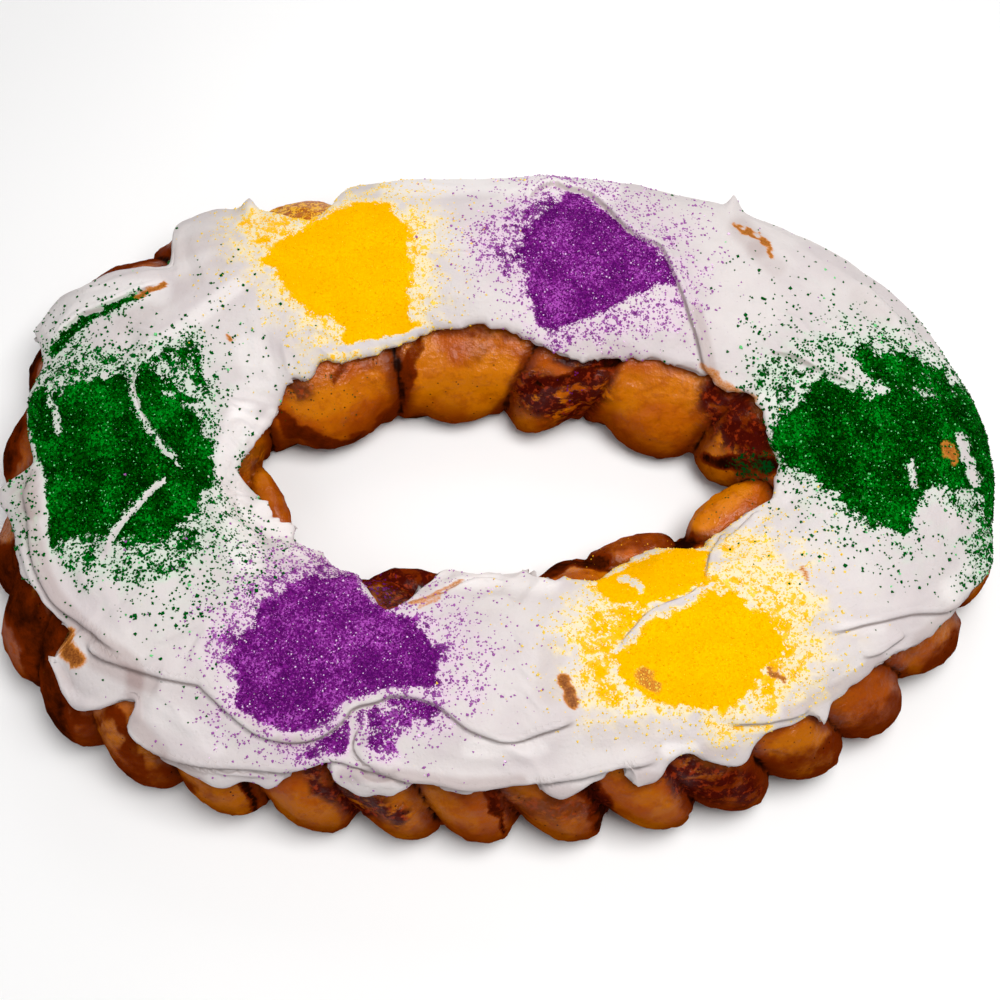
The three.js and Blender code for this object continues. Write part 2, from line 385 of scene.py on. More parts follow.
def move_vertices(piece: Piece, places: Array) -> None:
    """Writes a table of millimetres into a piece's vertices."""
    piece.data.vertices.foreach_set("co", (places * MM).astype(np.float32).ravel())
    piece.data.update()


def store(piece: Piece, name: str, values: Array) -> None:
    """Keeps one number for each vertex, for the piece's material."""
    layer = piece.data.attributes.new(name, "FLOAT", "POINT")
    layer.data.foreach_set("value", values.astype(np.float32).ravel())


@contextmanager
def edit_all_of(piece: Piece) -> Iterator[None]:
    """Opens a piece in edit mode with everything selected, and closes it again.

    Args:
        piece: The piece.
    """
    make_active(piece)
    bpy.ops.object.mode_set(mode="EDIT")
    bpy.ops.mesh.select_all(action="SELECT")
    yield
    bpy.ops.object.mode_set(mode="OBJECT")


# ---- the plan of the ring


@dataclass(frozen=True)
class Oval:
    """An oval outline. `squareness` is its exponent at the -X and +X ends, where 2 is an ellipse."""

    length: float
    width: float
    squareness: tuple[float, float]
    centre: tuple[float, float]

    def points(self, share: Array) -> Array:
        """Gives plan points, from the middle of the -Y side clockwise seen from above.

        Args:
            share: How far round each point lies, from 0 to 1.

        Returns:
            Their x and y.
        """
        angle = -FULL_TURN / 4 - FULL_TURN * np.asarray(share, float)
        low, high = self.squareness
        power = 2 / (low + (high - low) * (1 + np.cos(angle)) / 2)
        x = self.centre[0] + self.length / 2 * np.sign(np.cos(angle)) * np.abs(np.cos(angle)) ** power
        y = self.centre[1] + self.width / 2 * np.sign(np.sin(angle)) * np.abs(np.sin(angle)) ** power
        return np.stack([x, y], axis=-1)


class EvenWalk:
    """Turns a share of a closed line's length into the share of its own parameter."""

    def __init__(self, line: Array) -> None:
        """Measures a closed line.

        Args:
            line: Points at even steps of the parameter, the first again at the end.
        """
        self._steps = np.linspace(0, 1, len(line))
        self._walked = np.concatenate([[0], np.cumsum(norm(np.diff(line, axis=0), axis=1))])
        self.length = float(self._walked[-1])

    def at(self, share: Array) -> Array:
        """Gives the parameter after a share of the way."""
        return np.interp(np.mod(share, 1) * self.length, self._walked, self._steps)


@dataclass
class RingPlan:
    """The two outlines of the cake and the arm between them."""

    outer: Oval = Oval(380, 266, (2.75, 2), (0, 0))
    inner: Oval = Oval(182, 65, (2.1, 2), (-4, -7))
    axis_height: float = 20

    def __post_init__(self) -> None:
        """Measures the outlines and the line half-way between them."""
        steps = np.linspace(0, 1, 721)
        self.outer_walk = EvenWalk(self.outer.points(steps))
        self.inner_walk = EvenWalk(self.inner.points(steps))
        self.middle_walk = EvenWalk((self.outer.points(steps) + self.inner.points(steps)) / 2)

    def arms(self, turns: Array) -> tuple[Array, Array, Array]:
        """Gives the arm's cross-sections.

        Args:
            turns: Places round the ring, from 0 to 1.

        Returns:
            Each section's middle on the axis, level way outwards and half width.
        """
        share = self.middle_walk.at(turns)
        outer, inner = self.outer.points(share), self.inner.points(share)
        span = outer - inner
        middle = np.column_stack([(outer + inner) / 2, np.full(len(span), self.axis_height)])
        outward = np.column_stack([unit(span), np.zeros(len(span))])
        return middle, outward, norm(span, axis=1) / 2


# ---- the baked braid


@dataclass(frozen=True)
class Strand:
    """One visible length of rolled dough: an egg-shaped body with its own three axes."""

    centre: Array
    axes: Array
    half: Array

    def nearness(self, places: Array) -> Array:
        """Gives 1 on the strand's surface, less inside it and more outside."""
        return norm((places - self.centre) @ self.axes.T / self.half, axis=-1)


@dataclass(frozen=True)
class Roll:
    """A strand along the icing's edge, between two marks, `half` thick to each side."""

    start: Mark
    end: Mark
    half: float
    height: float = 20

    def strand(self) -> Strand:
        """Rolls it out.

        Returns:
            The strand.
        """
        start, end = SIGHT.placed((self.start, self.end), self.height)
        along = unit(end - start)
        side = unit(np.cross(along, (0, 0, 1)))
        reach = norm(end - start) / 2 + self.half
        return Strand((start + end) / 2, np.array([along, side, np.cross(along, side)]),
                      np.array([reach, self.half, self.half]))


class Bake(Enum):
    """What makes a part of the crust another colour, painted shade and painted highlight among them."""

    CINNAMON = "cinnamon"
    BURNT = "burnt"
    PALE = "pale"
    GREEN_DUST = "green_dust"
    PURPLE_DUST = "purple_dust"
    GOLD_DUST = "gold_dust"


@dataclass
class Braid:
    """The baked dough: two rows of leaning strands fused over a core, with a blistered crust."""

    plan: RingPlan
    streaks: dict[Bake, tuple[Streak, ...]]
    rolls: tuple[Roll, ...]
    outer_count: int = 28
    outer_bunch: float = 0.2
    outer_start: float = 0.0156
    inner_ends: tuple[tuple[float, float, float], ...] = (
        (0.015, 40, 0), (0.1, 38, 0), (0.19, 36, 0), (0.28, 38, 0), (0.368, 50, 0), (0.487, 54, -5),
        (0.577, 30, 0), (0.655, 52, 0), (0.725, 32, 0), (0.835, 34, 6), (0.925, 40, 8),
    )
    reach: float = 30
    depth: float = 19
    lean: tuple[float, float, float] = (0.58, 0.63, 0.51)
    fullness: float = 0.54
    uneven: float = 0.07
    base_sink: float = 1.6
    core_height: float = 45
    core_depth: float = 40
    core_clearance: float = 9
    core_roundness: float = 2.5
    voxel: float = 1.6
    softening: int = 5
    seam_width: float = 0.085
    seam_depth: float = 1.9
    blister_height: float = 1.1
    pit_depth: float = 2.2
    flat_base: float = 0.4
    strands: list[Strand] = field(default_factory=list)
    piece: Piece | None = None

    def build(self) -> Piece:
        """Fuses the strands and the core into one crust.

        Returns:
            The finished piece.
        """
        dice = Dice(17)
        self.strands = self._row(self.plan.outer, self.plan.outer_walk, self._outer_ends(), 1, dice)
        self.strands += self._row(self.plan.inner, self.plan.inner_walk, list(self.inner_ends), -1, dice)
        self.strands += [roll.strand() for roll in self.rolls]
        clear_selection()
        bodies = [self._core(), *(self._strand(strand) for strand in self.strands)]
        make_active(bodies[0])
        for body in bodies:
            body.select_set(True)
        bpy.ops.object.join()
        self.piece = bpy.context.object
        apply_modifier(self.piece, "REMESH", mode="VOXEL", voxel_size=self.voxel * MM)
        apply_modifier(self.piece, "SMOOTH", factor=0.5, iterations=self.softening)
        self._keep_outer_shell()
        self._bake_surface()
        bpy.ops.object.shade_smooth()
        return self.piece

    def dress(self, finish: CrustFinish) -> None:
        """Gives the crust its finish and ties it to the model.

        Args:
            finish: The finish.
        """
        self.piece.data.materials.append(finish.material())
        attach(self.piece, "root")
        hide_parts("braid")

    def _outer_ends(self) -> list[tuple[float, float, float]]:
        """Spreads the outer row's strand ends, closer together on the -Y side.

        Returns:
            Each one's place on the outline, its width, and how far it stands proud.
        """
        room = self.plan.outer_walk.length / self.outer_count
        ends = []
        for index in range(self.outer_count):
            share = index / self.outer_count + self.outer_start
            place = share - self.outer_bunch * np.sin(FULL_TURN * share) / FULL_TURN
            ends.append((place, room * (1 - self.outer_bunch * np.cos(FULL_TURN * share)), 0.0))
        return ends

    def _row(
        self, oval: Oval, walk: EvenWalk, ends: list[tuple[float, float, float]], sign: int, dice: Dice
    ) -> list[Strand]:
        """Sets out one row of strands.

        Args:
            oval: The outline that the strands' ends touch.
            walk: Its even walk.
            ends: Each strand's place on the outline, its width, and how far it stands proud.
            sign: 1 on the outer outline, -1 on the hole's.
            dice: The random numbers, in the solids' order.

        Returns:
            The strands, in order round the ring.
        """
        strands = []
        up = np.array([0.0, 0.0, 1.0])
        for place, width, proud in ends:
            shares = [(dice.roll() - 0.5) * 2 * self.uneven for _ in range(4)]
            spot = walk.at((place + shares[0] * width / walk.length + 1) % 1)
            near = oval.points(np.array([spot - 1e-4, spot, spot + 1e-4]))
            forward = np.array([*unit(near[2] - near[0]), 0.0])
            outward = np.cross(forward, up) * -sign
            along = unit(forward * self.lean[0] - outward * self.lean[1] + up * self.lean[2])
            side = unit(forward - along * forward.dot(along))
            axes = np.array([along, side, np.cross(along, side)])
            half = np.array([self.reach, width * self.fullness, self.depth]) * (1 + np.array(shares[1:]))
            level = norm(half * (axes @ outward))
            centre = np.array([*near[1], 0.0]) + outward * (proud - level)
            centre[2] = norm(half * (axes @ up)) - self.base_sink
            strands.append(Strand(centre, axes, half))
        return strands

    def _core(self) -> Piece:
        """Models the fused middle of the braid from a ring primitive.

        Returns:
            The core.
        """
        around, section = 180, 24
        bpy.ops.mesh.primitive_torus_add(
            major_segments=around, minor_segments=section, major_radius=0.12, minor_radius=0.02
        )
        core = bpy.context.object
        turns = np.arange(around) / around
        middle, outward, half = self.plan.arms(turns)
        angle = FULL_TURN * np.arange(section) / section
        power = 2 / self.core_roundness
        level = np.sign(np.cos(angle)) * np.abs(np.cos(angle)) ** power
        rise = np.sign(np.sin(angle)) * np.abs(np.sin(angle)) ** power
        rise = np.where(rise > 0, rise * (self.core_height - self.plan.axis_height), rise * self.core_depth)
        rise = np.maximum(rise, -self.plan.axis_height - self.base_sink)
        reach = (half - self.core_clearance)[:, None] * level
        places = middle[:, None] + outward[:, None] * reach[..., None]
        places[..., 2] += rise
        move_vertices(core, places.reshape(-1, 3))
        return core

    def _strand(self, strand: Strand) -> Piece:
        """Models one strand from a ball, pressed and turned to its axes.

        Args:
            strand: The strand.

        Returns:
            Its body.
        """
        bpy.ops.mesh.primitive_ico_sphere_add(subdivisions=4, radius=1)
        body = bpy.context.object
        ball = unit(vertex_places(body))
        move_vertices(body, strand.centre + (ball * strand.half) @ strand.axes)
        return body

    def _keep_outer_shell(self) -> None:
        """Drops any pocket that the fusing left inside, which has fewer faces than the outside."""
        with edit_all_of(self.piece):
            bpy.ops.mesh.separate(type="LOOSE")
        shells = sorted(bpy.context.selected_objects, key=lambda shell: len(shell.data.polygons))
        self.piece = shells.pop()
        self.piece.name = self.piece.data.name = "braid_crust"
        for shell in shells:
            bpy.data.objects.remove(shell)
        make_active(self.piece)

    def _bake_surface(self) -> None:
        """Raises the crust's relief, flattens its base and keeps the masks of its colour."""
        places = vertex_places(self.piece)
        table = np.stack([strand.nearness(places) for strand in self.strands])
        order = np.sort(table, axis=0)
        owner = np.argmin(table, axis=0)
        apart = order[1] - order[0]
        seam = np.exp(-((apart / self.seam_width) ** 2))
        lumps = Lumps(5)
        axes = np.stack([strand.axes[0] for strand in self.strands])[owner]
        along = np.sum(places * axes, axis=1, keepdims=True)
        stretched = places - axes * along * 0.65
        relief = 0.6 * lumps.at(places, 16) + 0.5 * lumps.at(stretched, 6) + 0.2 * lumps.at(places, 3.9)
        relief -= self.seam_depth * seam
        blister = np.maximum(lumps.at(places + 400, 4.5) - 0.25, 0) * self.blister_height
        pits = np.maximum(lumps.at(places + 200, 3.4) - 0.45, 0) * self.pit_depth
        normals = np.empty(len(places) * 3)
        self.piece.data.vertices.foreach_get("normal", normals)
        normals = normals.reshape(-1, 3)
        places = places + normals * (relief + blister - pits)[:, None]
        places[:, 2] = np.where(places[:, 2] < self.flat_base, 0.0, places[:, 2])
        move_vertices(self.piece, places)
        tone = np.random.default_rng(8).uniform(-1, 1, len(self.strands))[owner]
        # the seams' colour mask: near black in the joints, partly painted shade in their depth
        wound = np.exp(-(((apart + 0.05 * lumps.rough(places + 60, 9)) / 0.08) ** 2))
        wound = wound * (0.78 + 0.5 * lumps.rough(places + 30, 15)) + 0.12 * lumps.rough(places, 7)
        # the seam mask is near black in the joints, partly painted shade; the wide mask beside it is painted
        # shade; another marks the outer row of strands
        masks = {
            "seam": np.clip(wound, 0, 1), "glaze": ease(normals[:, 2], 0.25, 0.8) * (1 - seam),
            "flank": np.exp(-((apart / 0.34) ** 2)), "roast": owner < self.outer_count, "tone": tone,
        }
        for name, mask in masks.items():
            store(self.piece, name, mask)
        shaken = np.stack([lumps.rough(places + n, 9) for n in (0, 300, 600)], axis=1)
        seen = SIGHT.seen(places + 2.2 * shaken)
        facing = ease(normals @ SIGHT.axes()[2], -0.25, 0.05)
        for bake in Bake:
            cover = np.zeros(len(places))
            for streak in self.streaks[bake]:
                cover = np.maximum(cover, streak.cover(seen))
            cover *= facing
            if bake in (Bake.GREEN_DUST, Bake.PURPLE_DUST, Bake.GOLD_DUST):
                cover *= ease(normals[:, 2], -0.05, 0.5)
            if bake is Bake.CINNAMON:
                leak = ease(lumps.rough(places + 700, 26), 0.1, 0.45) * np.exp(-((apart / 0.3) ** 2))
                cover = np.maximum(cover, (1 - facing) * leak)
            store(self.piece, bake.value, cover)


# ---- the icing


@dataclass(frozen=True)
class EdgeRun:
    """A traced stretch of the icing's edge, and how much further it runs, out of the main view."""

    trail: Trail
    beyond: float = 0.0


@dataclass(frozen=True)
class Edge:
    """One edge of the icing: its traced runs, and how far it stays back from the side elsewhere."""

    runs: tuple[EdgeRun, ...]
    inset: float
    waver: float
    tear: float
    inside: bool = False

    def traced(self, skin: BVHTree, columns: int, rays: int, spacing: float) -> Array:
        """Finds where the traced runs cross each section.

        Args:
            skin: The plain surface, with `rays` faces in each of its columns.
            columns: How many sections the ring has.
            rays: Faces in a section, from the outer side to the inner one.
            spacing: About how far apart the rays are.

        Returns:
            Each section's place on the rays, NaN where nothing was traced.
        """
        table = np.full(columns, np.nan)
        sign = 1 if self.inside else -1
        for run in self.runs:
            _, faces = SIGHT.cast(skin, run.trail.rounded(6))
            ends = np.minimum(np.arange(len(faces)), np.arange(len(faces))[::-1])
            column, ray = faces // rays, faces % rays + 0.5 + sign * run.beyond / spacing * ease(ends, 0, 9)
            for c0, r0, c1, r1 in zip(column[:-1], ray[:-1], column[1:], ray[1:]):
                steps = (c1 - c0 + columns // 2) % columns - columns // 2
                if abs(steps) < columns // 8:
                    for n in range(abs(int(steps)) + 1):
                        at = int(c0 + np.sign(steps) * n) % columns
                        value = r0 + (r1 - r0) * n / max(abs(steps), 1)
                        if np.isnan(table[at]) or value * sign > table[at] * sign:
                            table[at] = value
        return table


@dataclass(frozen=True)
class Fold:
    """A lap left by the spatula, steep on the left of its way and gentle on the right."""

    trail: Trail
    rise: float = 1.8
    gentle: float = 8.0
    steep: float = 1.3
    groove: float = 0.4
    overhang: float = 0.7
    fade: float = 0.14

    def work(self, skin: BVHTree, places: Array, normals: Array) -> tuple[Array, ...]:
        """Works out the lap.

        Args:
            skin: The plain surface that its line lies on.
            places: Points on the surface.
            normals: Their normals.

        Returns:
            The numbers of the points that it moves, their rise, shift, nearness to the crest and signed
            distance to the line, and the lap's strength there.
        """
        line = SIGHT.cast(skin, self.trail.rounded())[0]
        room = 2.3 * self.gentle + 2
        near = np.flatnonzero(np.all((places > line.min(0) - room) & (places < line.max(0) + room), axis=1))
        places, normals = places[near], normals[near]
        away, spot = nearest_on(line, places)
        steps = np.arange(len(line))
        walked = np.concatenate([[0], np.cumsum(norm(np.diff(line, axis=0), axis=1))])
        along = np.interp(spot, steps, walked) / walked[-1]
        slopes = np.gradient(line, axis=0)
        tangent = np.stack([np.interp(spot, steps, slopes[:, n]) for n in range(3)], axis=1)
        foot = np.stack([np.interp(spot, steps, line[:, n]) for n in range(3)], axis=1)
        left = unit(np.cross(normals, tangent))
        signed = np.where(np.sum((places - foot) * left, axis=1) < 0, -away, away)
        strength = ease(along, 0, self.fade) * ease(along, 1, 1 - self.fade)
        strength *= 1 - ease(away, 1.5 * self.gentle, 2.3 * self.gentle)
        slope, drop = np.exp(-((signed / self.gentle) ** 2)), 1 - ease(signed, 0, self.steep)
        height = np.where(signed < 0, slope, drop)
        dip = self.groove * np.exp(-(((signed - self.steep * 1.4) / (0.9 * self.steep)) ** 2))
        behind = np.exp(-((signed / (0.5 * self.gentle)) ** 2))
        ahead = 1 - ease(signed, 0.2 * self.steep, 1.5 * self.steep)
        shift = left * (strength * self.overhang * np.where(signed < 0, behind, ahead))[:, None]
        crest = strength * np.exp(-(((signed + 0.8) / 1.6) ** 2)) * min(self.rise / 2, 1)
        return near, strength * (self.rise * height - dip), shift, crest, signed, strength


@dataclass(frozen=True)
class Pull:
    """A tip drawn out of the icing, from one mark to another, `width` marks wide."""

    start: Mark
    end: Mark
    width: float

    def shift(self, seen: Array) -> Array:
        """Draws places along.

        Args:
            seen: Where the places are seen.

        Returns:
            How far each one moves.
        """
        start, end = SIGHT.level((self.start, self.end))
        right, up, _ = SIGHT.axes()
        way = right * (end - start)[0] + up * (end - start)[1]
        away = norm(seen - start, axis=-1) / (self.width * MARK)
        return np.exp(-(away**2))[..., None] * way


class Hue(Enum):
    """The three colours of sugar."""

    GREEN = "green"
    PURPLE = "purple"
    GOLD = "gold"


@dataclass(frozen=True)
class Patch:
    """A field of sugar: its outline, its strength, and its border's softness, spray and tears."""

    outline: Trail
    strength: float
    border: float
    spray: float
    ragged: float

    def cover(self, seen: Array, torn: Array) -> Array:
        """Works out how thickly sugar lies.

        Args:
            seen: Where the places are seen.
            torn: Noise that tears the border.

        Returns:
            The covered share, from 0 to 1.
        """
        depth = self.outline.depth_inside(seen, 60) + self.ragged * torn
        dense = ease(depth, -self.border, self.border)
        out = np.minimum(depth, 0)
        halo = 0.46 * np.exp(out / self.spray) + 0.012 * np.exp(out / (5 * self.spray))
        halo *= depth > FAR_OUTSIDE / 2
        return self.strength * np.maximum(dense, halo * (1 + 0.5 * torn))


@dataclass(frozen=True)
class Profile:
    """How far the dough and the icing reach along the rays of every section."""

    middle: Array
    half: Array
    ways: Array
    dough: Array
    ice: Array

    def surface(self, reach: Array) -> Array:
        """Gives the points at a reach along the rays."""
        return self.middle[:, None] + self.ways * reach[..., None]

    def outward(self) -> Array:
        """Gives each section's level way outwards."""
        return unit(self.ways[:, :1] * (1, 1, 0))


def blurred_round(table: Array, around: float) -> Array:
    """Averages a table round the ring with a bell-shaped weight.

    Args:
        table: One row for each section.
        around: The weight's spread, in sections.

    Returns:
        The smoothed table.
    """
    span = int(3 * around)
    weights = np.exp(-0.5 * (np.arange(-span, span + 1) / around) ** 2)
    return sum(w * np.roll(table, n - span, axis=0) for n, w in enumerate(weights)) / weights.sum()


def blurred(table: Array, around: float, across: float) -> Array:
    """Averages a table round the ring and along the sections.

    Args:
        table: One row for each section.
        around: The spread round the ring, in sections.
        across: The spread along a section, in rays.

    Returns:
        The smoothed table.
    """
    span = int(3 * across) + 1
    weights = np.exp(-0.5 * (np.arange(-span, span + 1) / across) ** 2)
    padded = np.pad(blurred_round(table, around), ((0, 0), (span, span)), mode="edge")
    return sum(w * padded[:, n:n + table.shape[1]] for n, w in enumerate(weights)) / weights.sum()


@dataclass
class Icing:
    """The poured icing: one closed skin with folds, hanging edges and a rounded lip."""

    plan: RingPlan
    outer_edge: Edge
    inner_edge: Edge
    folds: tuple[Fold, ...]
    pulls: tuple[Pull, ...]
    patches: dict[Hue, tuple[Patch, ...]]
    wiped: tuple[Streak, ...]
    bare_spots_and_reflection: tuple[Streak, ...]
    painted_light_and_shade: tuple[Streak, ...]
    first_ray: float = -28
    last_ray: float = 208
    rays: int = 119
    ray_spacing: float = 1.35
    ray_rise: float = 25
    thickness: float = 6.5
    least: float = 4.2
    lip: float = 3.9
    lip_reach: float = 3.0
    soft_lap: float = 1.6
    calm_rows: float = 14.0
    full_heap: float = 0.95
    ring_faces: int = 190
    section_faces: int = 32
    lip_top: int = 5
    lip_low: int = 4
    under: int = 6
    piece: Piece | None = None
    cells: tuple[Array, Array] | None = None
    top: Array | None = None
    normals: Array | None = None
    covers: dict[Hue, Array] = field(default_factory=dict)

    def build(self, braid: Piece) -> Piece:
        """Pours the icing over the braid.

        Args:
            braid: The finished crust that it lies on.

        Returns:
            The finished piece.
        """
        columns, rows = self.ring_faces * 4, self.section_faces * 4
        turns = np.arange(columns) / columns
        profile = self._profile(braid, turns)
        skin = self._skin(profile)
        depths, share, lift = self._rows(rows, profile, self._edges(profile, skin))
        over, dough = self._lay(profile, depths)
        lumps = Lumps(11)
        base_normals = self._grid_normals(over, profile.middle)
        over, marks = self._spread(over, base_normals, lumps, skin)
        normals = self._grid_normals(over, profile.middle)
        uneven = self.lip * (1 + 0.3 * lumps.at(over, 14))
        surface = over - normals * (uneven * (1 - lift))[..., None]
        under = dough - base_normals * 0.5
        surface = surface + (under - surface) * ease(share, 0, 1)[..., None]
        self._mesh(surface)
        self._keep_masks(over, normals, marks, lumps)
        return self.piece

    def dress(self, finish: IcingFinish) -> None:
        """Gives the icing its finish and ties it to the model.

        Args:
            finish: The finish.
        """
        self.piece.data.materials.append(finish.material())
        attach(self.piece, "root")
        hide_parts("icing")

    def _profile(self, braid: Piece, turns: Array) -> Profile:
        """Feels the dough from outside and smooths its surface into the icing's.

        Args:
            braid: The finished crust.
            turns: Places round the ring, from 0 to 1.

        Returns:
            The rays and both surfaces on them.
        """
        middle, outward, half = self.plan.arms(turns)
        angles = np.radians(np.linspace(self.first_ray, self.last_ray, self.rays))
        ways = outward[:, None] * (half[:, None] * np.cos(angles))[..., None]
        ways[..., 2] = self.ray_rise * np.sin(angles)
        ways = unit(ways)
        start = np.where(np.abs(ways[..., 2]) > 0.6, 62.0, half[:, None] + 13.0)
        tree = BVHTree.FromObject(braid, bpy.context.evaluated_depsgraph_get())
        origins = ((middle[:, None] + ways * start[..., None]) * MM).reshape(-1, 3).tolist()
        backs = (-ways).reshape(-1, 3).tolist()
        limits = (start * MM).ravel().tolist()
        hits = [tree.ray_cast(o, b, limit)[3] for o, b, limit in zip(origins, backs, limits)]
        found = np.array([limit if hit is None else hit for hit, limit in zip(hits, limits)])
        dough = start - found.reshape(start.shape) / MM
        smooth = blurred(dough, 11, 3.2)
        gap = dough + self.least - smooth - self.thickness
        ice = smooth + self.thickness + np.where(gap > 0, gap, 0) + 0.8 * np.exp(-((gap / 1.6) ** 2))
        return Profile(middle, half, ways, dough, blurred(ice, 3, 0.9))

    @staticmethod
    def _skin(profile: Profile) -> BVHTree:
        """Makes the plain surface of the icing, one column of faces for each section.

        Args:
            profile: The rays.

        Returns:
            The surface.
        """
        places = profile.surface(profile.ice)
        columns, count = places.shape[:2]
        column, ray = np.divmod(np.arange(columns * (count - 1)), count - 1)
        first, after = column * count + ray, (column + 1) % columns * count + ray
        faces = np.stack([first, after, after + 1, first + 1], axis=1)
        return BVHTree.FromPolygons(places.reshape(-1, 3).tolist(), faces.tolist())

    def _edges(self, profile: Profile, skin: BVHTree) -> Array:
        """Finds where the icing begins, on the outer side, and where it ends.

        Args:
            profile: The rays.
            skin: The plain surface.

        Returns:
            Both edges' places on each section's rays.
        """
        middle, columns = profile.middle, len(profile.middle)
        reach = np.sum((profile.surface(profile.ice) - middle[:, None]) * profile.outward(), axis=2)
        lumps, found = Lumps(23), []
        for edge, sign in ((self.outer_edge, 1), (self.inner_edge, -1)):
            table = edge.traced(skin, columns, self.rays - 1, self.ray_spacing)
            waver = edge.waver * lumps.rough(middle + 80 * sign, 30)
            wanted = sign * (profile.half - edge.inset + waver)
            plain = np.array([self._crossing(reach[n], wanted[n]) for n in range(columns)])
            known = ~np.isnan(table)
            weight = np.clip(2 * blurred_round(known.astype(float), 7) * known - 1, 0, 1)
            table = np.where(known, table * weight + plain * (1 - weight), plain)
            torn = edge.tear * (lumps.at(middle + 200 * sign, 9) + 0.3 * lumps.at(middle, 3.1))
            found.append(blurred_round(table, 1.1) + torn)
        return np.stack(found)

    def _rows(self, rows: int, profile: Profile, edges: Array) -> tuple[Array, Array, Array]:
        """Places the rows of the closed section: top, rounded lips and hidden underside.

        Args:
            rows: How many there are.
            profile: The rays.
            edges: Where the icing begins and ends on the rays.

        Returns:
            Each row's place on the section's rays, how far it is buried, and its lift in the lip.
        """
        lip_top, lip_low, under = self.lip_top, self.lip_low, self.under
        top = rows - 2 * (lip_top + lip_low) - under
        arc = np.radians(np.linspace(0, 72, lip_top))
        low = np.radians(np.linspace(-12, -90, lip_low))
        upper, lower = (self.lip_reach * (1 - np.cos(bend)) for bend in (arc, low))
        above, below = ((1 + np.sin(bend)) / 2 for bend in (arc, low))
        lift = np.concatenate([above, np.ones(top), above[::-1], below, np.zeros(under), below[::-1]])
        sunk = [np.linspace(0, 0.5, lip_low) ** 2, np.ones(under), np.linspace(0.5, 0, lip_low) ** 2]
        share = np.concatenate([np.zeros(top + 2 * lip_top), *sunk])
        steps = norm(np.diff(profile.surface(profile.ice), axis=1), axis=2)
        walked = np.pad(np.cumsum(steps, axis=1), ((0, 0), (1, 0)))
        index = np.arange(self.rays, dtype=float)
        table = np.empty((len(walked), rows))
        ends = np.array([np.interp(edges[:, n], index, way) for n, way in enumerate(walked)])
        calm = blurred_round(ends, self.calm_rows)
        way = np.linspace(0, 1, top)
        pull = np.clip(1 - way / 0.17, 0, 1) ** 2
        for n, ((begin, end), (calm_begin, calm_end)) in enumerate(zip(ends, calm)):
            even = np.linspace(calm_begin + self.lip_reach, calm_end - self.lip_reach, top)
            even += (begin - calm_begin) * pull + (end - calm_end) * pull[::-1]
            ordered = np.concatenate([
                begin + upper, np.maximum.accumulate(even), (end - upper)[::-1], end - lower,
                np.linspace(end - self.lip_reach - 2, begin + self.lip_reach + 2, under),
                (begin + lower)[::-1],
            ])
            table[n] = np.interp(ordered, walked[n], index)
        return table, np.broadcast_to(share, table.shape), np.broadcast_to(lift, table.shape)

    @staticmethod
    def _crossing(reach: Array, wanted: float) -> float:
        """Finds where a section, on its way inwards, passes a level distance.

        Args:
            reach: How far out the section's points are.
            wanted: The level distance.

        Returns:
            The place on the rays.
        """
        start = int(np.argmax(reach[:60]))
        end = len(reach) - 60 + int(np.argmin(reach[-60:]))
        falling = np.minimum.accumulate(reach[start:end + 1])
        return float(np.interp(-wanted, -falling, np.arange(start, end + 1)))

    @staticmethod
    def _lay(profile: Profile, table: Array) -> list[Array]:
        """Turns places on the rays into points.

        Args:
            profile: The rays.
            table: The places.

        Returns:
            Points on the icing's surface and on the dough's.
        """
        low = np.clip(table.astype(int), 0, profile.ice.shape[1] - 2)
        part = (table - low)[..., None]
        rows = np.arange(len(table))[:, None]
        surfaces = [profile.surface(reach) for reach in (profile.ice, profile.dough)]
        return [places[rows, low] * (1 - part) + places[rows, low + 1] * part for places in surfaces]

    @staticmethod
    def _grid_normals(places: Array, middle: Array) -> Array:
        """Gives the normals of a table of sections, away from the sections' middles.

        Args:
            places: The sections' points.
            middle: The sections' middles.

        Returns:
            The normals.
        """
        round_way = np.roll(places, -1, axis=0) - np.roll(places, 1, axis=0)
        normals = unit(np.cross(np.gradient(places, axis=1), round_way))
        outwards = np.sum(normals * (places - middle[:, None]), axis=-1, keepdims=True)
        return normals * np.where(outwards < 0, -1, 1)

    def _spread(
        self, over: Array, normals: Array, lumps: Lumps, skin: BVHTree
    ) -> tuple[Array, dict[str, Array]]:
        """Works the icing's top with the spatula.

        Args:
            over: Points on the plain surface.
            normals: Their normals.
            lumps: The noise of its unevenness.
            skin: The plain surface as a whole.

        Returns:
            The worked points, and what the folds leave on them: crest, lap and power.
        """
        shape = over.shape[:-1]
        flat, flat_normals = over.reshape(-1, 3), normals.reshape(-1, 3)
        seen = SIGHT.seen(flat)
        patches = sum(self.patches.values(), ())
        heaps = [patch.cover(seen, 0.0) for patch in patches if patch.strength > self.full_heap]
        strokes = self._strokes(over, lumps).ravel() * (1 - 0.8 * np.maximum.reduce(heaps))
        height = 0.7 * lumps.at(over, 26).ravel() + strokes
        shift = np.zeros_like(flat)
        crest, lap, power = np.zeros(len(flat)), np.full(len(flat), 9.0), np.zeros(len(flat))
        for fold in self.folds:
            near, rise, aside, close, signed, strength = fold.work(skin, flat, flat_normals)
            height[near] += rise
            shift[near] += aside
            crest[near] = np.maximum(crest[near], close)
            if fold.steep > self.soft_lap:
                continue
            strength = strength * (1 - ease(signed, 1.9, 2.4)) * ease(signed, -2.3, -1.2)
            strength = strength * min(fold.rise / 2, 1)
            stronger = strength > power[near]
            power[near] = np.where(stronger, strength, power[near])
            lap[near] = np.where(stronger, signed, lap[near])
        worked = flat + flat_normals * height[:, None] + shift
        seen = SIGHT.seen(worked)
        worked = worked + sum(pull.shift(seen) for pull in self.pulls)
        marks = {"crest": crest.reshape(shape), "lap": lap.reshape(shape), "power": power.reshape(shape)}
        return worked.reshape(over.shape), marks

